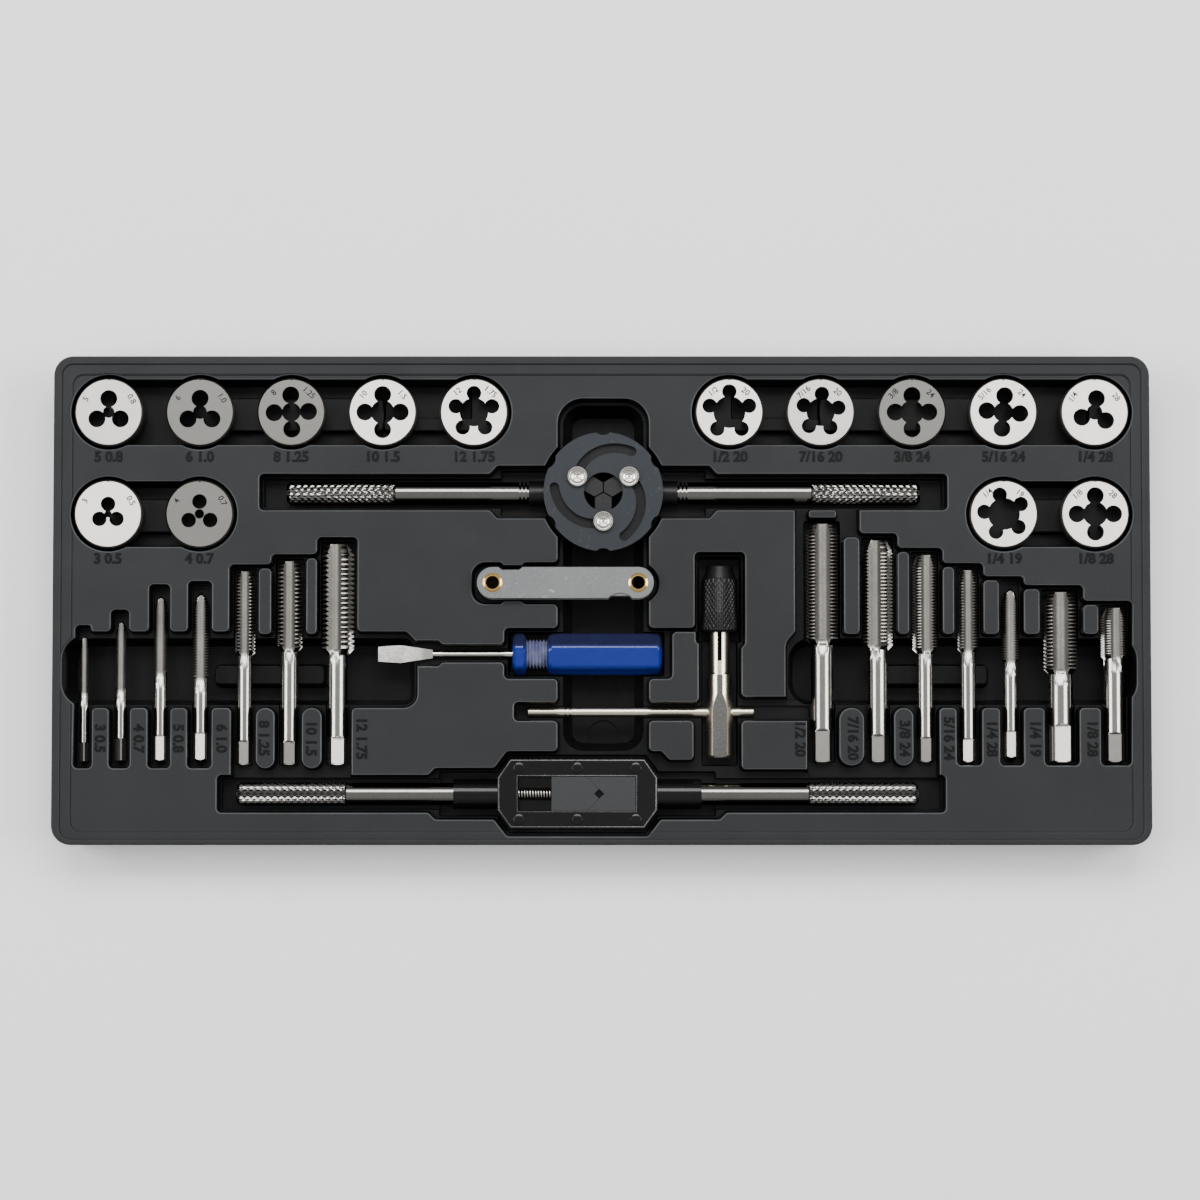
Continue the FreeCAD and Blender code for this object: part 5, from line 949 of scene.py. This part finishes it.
class TAPSET_OT_dies(bpy.types.Operator):
    """Finish the fourteen dies and engrave their numbers"""

    bl_idname = "tapset.dies"
    bl_label = "Dies"

    def execute(self, context):
        settings = context.scene.tapset_steel
        steels = {finish: die_steel(settings, finish) for finish in ("bright", "plain", "dull")}
        dark = engraved_black(settings)
        for size, bearing, finish in dies:
            node = "die_" + size
            dress(steels[finish], node)
            low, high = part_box(node)
            centre = (low + high) / 2
            numbers = []
            for words, side in zip(size_words[size].split(), (-1, 1)):
                lean = math.radians(side * bearing)
                place = (centre.x + die_mark_radius * mm * math.sin(lean),
                         centre.y + die_mark_radius * mm * math.cos(lean))
                numbers.append(number_mesh(words, die_mark_height * mm, 0.02 * mm, place, -lean, high.z, 0.0,
                                           0.05 * mm))
            numbers.append(notch_mesh(centre, high.z))
            new_piece(joined(node + "_numbers", numbers), dark, size + "_die", "die_steel")
        return {"FINISHED"}


class TAPSET_OT_die_stock(bpy.types.Operator):
    """Knurl the die stock's handles and finish its ring, plate and guides"""

    bl_idname = "tapset.die_stock"
    bl_label = "Die stock"

    def execute(self, context):
        steel, knurl = context.scene.tapset_steel, context.scene.tapset_knurl
        dress(black_satin(steel), "stock_body")
        dress(blued_steel(steel), "stock_guide_plate")
        dress(dark_steel(), "guide_jaw_1", "guide_jaw_2", "guide_jaw_3")
        dress(bright_steel(steel), "stock_clamp_screws")
        dished = turned_steel(steel)
        for index in "123":
            node = "guide_screw_" + index
            mesh = dished_screw_mesh("dished_screw_" + index, node)
            new_piece(mesh, dished, "guide_" + index, "screw_steel", node)
        root = [(18.05, 0), (18.05, 2.5), (27.05, 2.5)]
        for radius in (2.9, 4.1, 2.9, 4.1, 2.9):
            start = root[-1][0]
            root.extend(((start, radius), (start + stud_rib, radius)))
        chrome = bright_steel(steel, "polished_steel", (0.08, 0.14), 0.36)
        for side, direction in (("left", (-1, 0, 0)), ("right", (1, 0, 0))):
            mesh = knurled_handle("knurled_stock_" + side, stock_axis, direction, root, 115.0, 4.1, 39.6, 4.4,
                                  knurl)
            new_piece(mesh, chrome, "die_stock", "chromed", "stock_handle_" + side)
        return {"FINISHED"}


class TAPSET_OT_bar_wrench(bpy.types.Operator):
    """Knurl the bar wrench's handles, cut its screw and finish its body and jaws"""

    bl_idname = "tapset.bar_wrench"
    bl_label = "Bar tap wrench"

    def execute(self, context):
        steel, knurl = context.scene.tapset_steel, context.scene.tapset_knurl
        gloss = black_gloss(steel)
        dress(gloss, "wrench_body", "wrench_cover")
        left, front, low, right, rear, _ = box_mm("wrench_rivets")
        profile = [(low, 0), (low, rivet_radius), (24.2, rivet_radius), (24.32, 1.95), (24.42, 1.6),
                   (24.5, 1.0), (24.55, 0)]
        domes = [turned_mesh("dome", (x, y, 0), (0, 0, 1), profile, 32)
                 for x in (left + rivet_radius, (left + right) / 2, right - rivet_radius)
                 for y in (front + rivet_radius, rear - rivet_radius)]
        new_piece(joined("rivet_domes", domes), gloss, "bar_wrench", "black_steel", "wrench_rivets")
        left, front, _, right, rear, top = box_mm("wrench_cover")
        length, width = cover_corner
        outline = [(left, front + width), (left + length, front), (right - length, front),
                   (right, front + width), (right, rear - width), (right - length, rear),
                   (left + length, rear), (left, rear - width)]
        # Low beads along the cover's outline and window, in paler metal: a painted highlight of its edges
        edges = [bead_mesh("edge", outline, 0.45, 0.4, top - 0.05, top + 0.07),
                 bead_mesh("edge", wrench_window, -0.3, 0.25, top - 0.05, top + 0.04)]
        new_piece(joined("cover_edges", edges), cover_edge_glint(), "bar_wrench", "black_steel")
        dress(jaw_steel(), "wrench_fixed_jaw", "wrench_sliding_jaw")
        chrome = bpy.data.materials["polished_steel"]
        root = [(28.95, 0), (28.95, 3.75), (44.95, 3.75)]
        for kind, direction, body in (("fixed_handle", (1, 0, 0), "bar_wrench"),
                                      ("turning_handle", (-1, 0, 0), "wrench_turner")):
            mesh = knurled_handle("knurled_" + kind, wrench_axis, direction, root, 123.3, 4.0, 39.8, 4.3,
                                  knurl)
            new_piece(mesh, chrome, body, "chromed", "wrench_" + kind)
        low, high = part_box("wrench_spindle")
        origin = (low.x / mm, wrench_axis[1], wrench_axis[2])
        mesh = screw_mesh("threaded_spindle", origin, (1, 0, 0), (high.x - low.x) / mm, 2.5, 1.0, 0.55)
        new_piece(mesh, threaded_steel(steel), "wrench_turner", "screw_steel", "wrench_spindle")
        return {"FINISHED"}


class TAPSET_OT_t_wrench(bpy.types.Operator):
    """Knurl the T-handle wrench's collar and finish its body, jaws and bar"""

    bl_idname = "tapset.t_wrench"
    bl_label = "T-handle tap wrench"

    def execute(self, context):
        steel = context.scene.tapset_steel
        dress(milled_nickel(steel), "t_wrench_body")
        dress(nickel(steel), "t_wrench_bar")
        dress(bpy.data.materials["bright_steel"], "t_wrench_jaws")
        start, end, nose_end = 28.8, 48.2, 53.3
        profile = [(start, 3.7), (start, 6.6), (start + 0.7, 7.2), (start + 2.6, 7.2), (start + 7.6, 6.7),
                   (end - 0.7, 6.6), (end, 6.3), (end + 0.2, 5.9), (nose_end - 0.6, 4.5), (nose_end, 3.9),
                   (nose_end, 2.2), (nose_end - 0.3, 2.2), (nose_end - 2.25, 2.2), (nose_end - 10.25, 3.7)]
        mesh = turned_mesh("knurled_collar", t_axis, (0, 1, 0), profile, 29, (start + 0.7, end - 0.7), 2.2,
                           0.35, round_trip=True)
        new_piece(mesh, black_satin(steel), "t_collar", "black_steel", "t_wrench_collar")
        return {"FINISHED"}


class TAPSET_OT_screwdriver(bpy.types.Operator):
    """Finish the screwdriver's clear handle and ground blade"""

    bl_idname = "tapset.screwdriver"
    bl_label = "Screwdriver"

    def execute(self, context):
        new_piece(handle_mesh("ribbed_handle"), blue_plastic(), "screwdriver", "blue_handle", "driver_handle")
        dress(ground_blade(context.scene.tapset_steel), "driver_blade")
        return {"FINISHED"}


class TAPSET_OT_pitch_gauge(bpy.types.Operator):
    """Finish the screw pitch gauge's plates, leaves and eyelets"""

    bl_idname = "tapset.pitch_gauge"
    bl_label = "Screw pitch gauge"

    def execute(self, context):
        dress(gauge_steel(), "gauge_plates", "gauge_leaf_stack", "gauge_leaves_left",
              "gauge_leaves_right")
        dress(brass(), "gauge_eyelets")
        return {"FINISHED"}


class TAPSET_OT_stage(bpy.types.Operator):
    """Lay the pale floor, hang the soft lights, shade the sky towards the horizon and set up the camera"""

    bl_idname = "tapset.stage"
    bl_label = "Stage"

    def execute(self, context):
        settings = context.scene.tapset_stage
        half = 3.0
        mesh = bpy.data.meshes.new("floor")
        mesh.from_pydata([(-half, -half, 0), (half, -half, 0), (half, half, 0), (-half, half, 0)], [],
                         [(0, 1, 2, 3)])
        paper = grained("floor_paper", 400.0, *shades(settings.floor, 1, 0.99), (0.7, 0.75), 1e-5)
        mesh.materials.append(paper)
        floor = new_object("floor", mesh)

        world = bpy.data.worlds.new("studio")
        world.use_nodes = True
        tree = world.node_tree
        background = tree.nodes["Background"]
        background.inputs["Color"].default_value = (1, 1, 1, 1)
        upward = place_axes(tree, "Generated")["Z"]
        height = mapped(tree, upward, 0.3, 0.85, settings.sky * 0.3, settings.sky * 1.1)
        backdrop = times(tree, tree.nodes.new("ShaderNodeLightPath").outputs["Is Camera Ray"], settings.sky)
        tree.links.new(arithmetic(tree, "MAXIMUM", height, backdrop), background.inputs["Strength"])
        context.scene.world = world

        for name, place, size, share in (("rear_panel", (0.0, 0.85, 1.55), (1.3, 0.7), 0.9),
                                         ("left_panel", (-1.35, 0.15, 1.45), (1.2, 0.9), 1.0),
                                         ("right_panel", (1.35, 0.15, 1.45), (1.2, 0.9), 1.0)):
            data = bpy.data.lights.new(name, "AREA")
            data.shape = "RECTANGLE"
            data.size, data.size_y = size
            data.energy = settings.panel_power * share
            lamp = new_object(name, data)
            lamp.location = place
            lamp.rotation_euler = (-Vector(place)).to_track_quat("-Z", "Y").to_euler()

        data = bpy.data.cameras.new("camera")
        data.sensor_width = 36
        data.lens = data.sensor_width * settings.distance / settings.view_width
        camera = new_object("camera", data)
        back = Vector((0, -math.sin(settings.tilt), math.cos(settings.tilt)))
        camera.location = Vector((-0.0006, 0.0, deck_z * mm)) + back * settings.distance
        camera.rotation_euler = (settings.tilt, 0, 0)
        context.scene.camera = camera
        return {"FINISHED"}


operators = (
    TAPSET_OT_tray,
    TAPSET_OT_taps,
    TAPSET_OT_dies,
    TAPSET_OT_die_stock,
    TAPSET_OT_bar_wrench,
    TAPSET_OT_t_wrench,
    TAPSET_OT_screwdriver,
    TAPSET_OT_pitch_gauge,
    TAPSET_OT_stage,
)


class TAPSET_PT_panel(bpy.types.Panel):
    """Buttons for each part of the set, with its settings"""

    bl_idname = "TAPSET_PT_panel"
    bl_label = "Tap Set"
    bl_space_type = "VIEW_3D"
    bl_region_type = "UI"
    bl_category = "Tap Set"

    def draw(self, context):
        for holder in ("tapset_tray", "tapset_steel", "tapset_knurl", "tapset_stage"):
            settings = getattr(context.scene, holder)
            for label in settings.bl_rna.properties.keys():
                if label not in ("name", "rna_type"):
                    self.layout.prop(settings, label)
        for operator in operators:
            self.layout.operator(operator.bl_idname)


settings_groups = {
    "tapset_tray": TraySettings,
    "tapset_steel": SteelSettings,
    "tapset_knurl": KnurlSettings,
    "tapset_stage": StageSettings,
}


def register():
    for holder, group in settings_groups.items():
        bpy.utils.register_class(group)
        setattr(bpy.types.Scene, holder, bpy.props.PointerProperty(type=group))
    for kind in (*operators, TAPSET_PT_panel):
        bpy.utils.register_class(kind)


def unregister():
    for kind in reversed((*operators, TAPSET_PT_panel)):
        bpy.utils.unregister_class(kind)
    for holder, group in settings_groups.items():
        delattr(bpy.types.Scene, holder)
        bpy.utils.unregister_class(group)


def main():
    """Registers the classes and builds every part."""
    register()
    for operator in operators:
        group, label = operator.bl_idname.split(".")
        getattr(getattr(bpy.ops, group), label)()


if __name__ == "__main__":
    main()
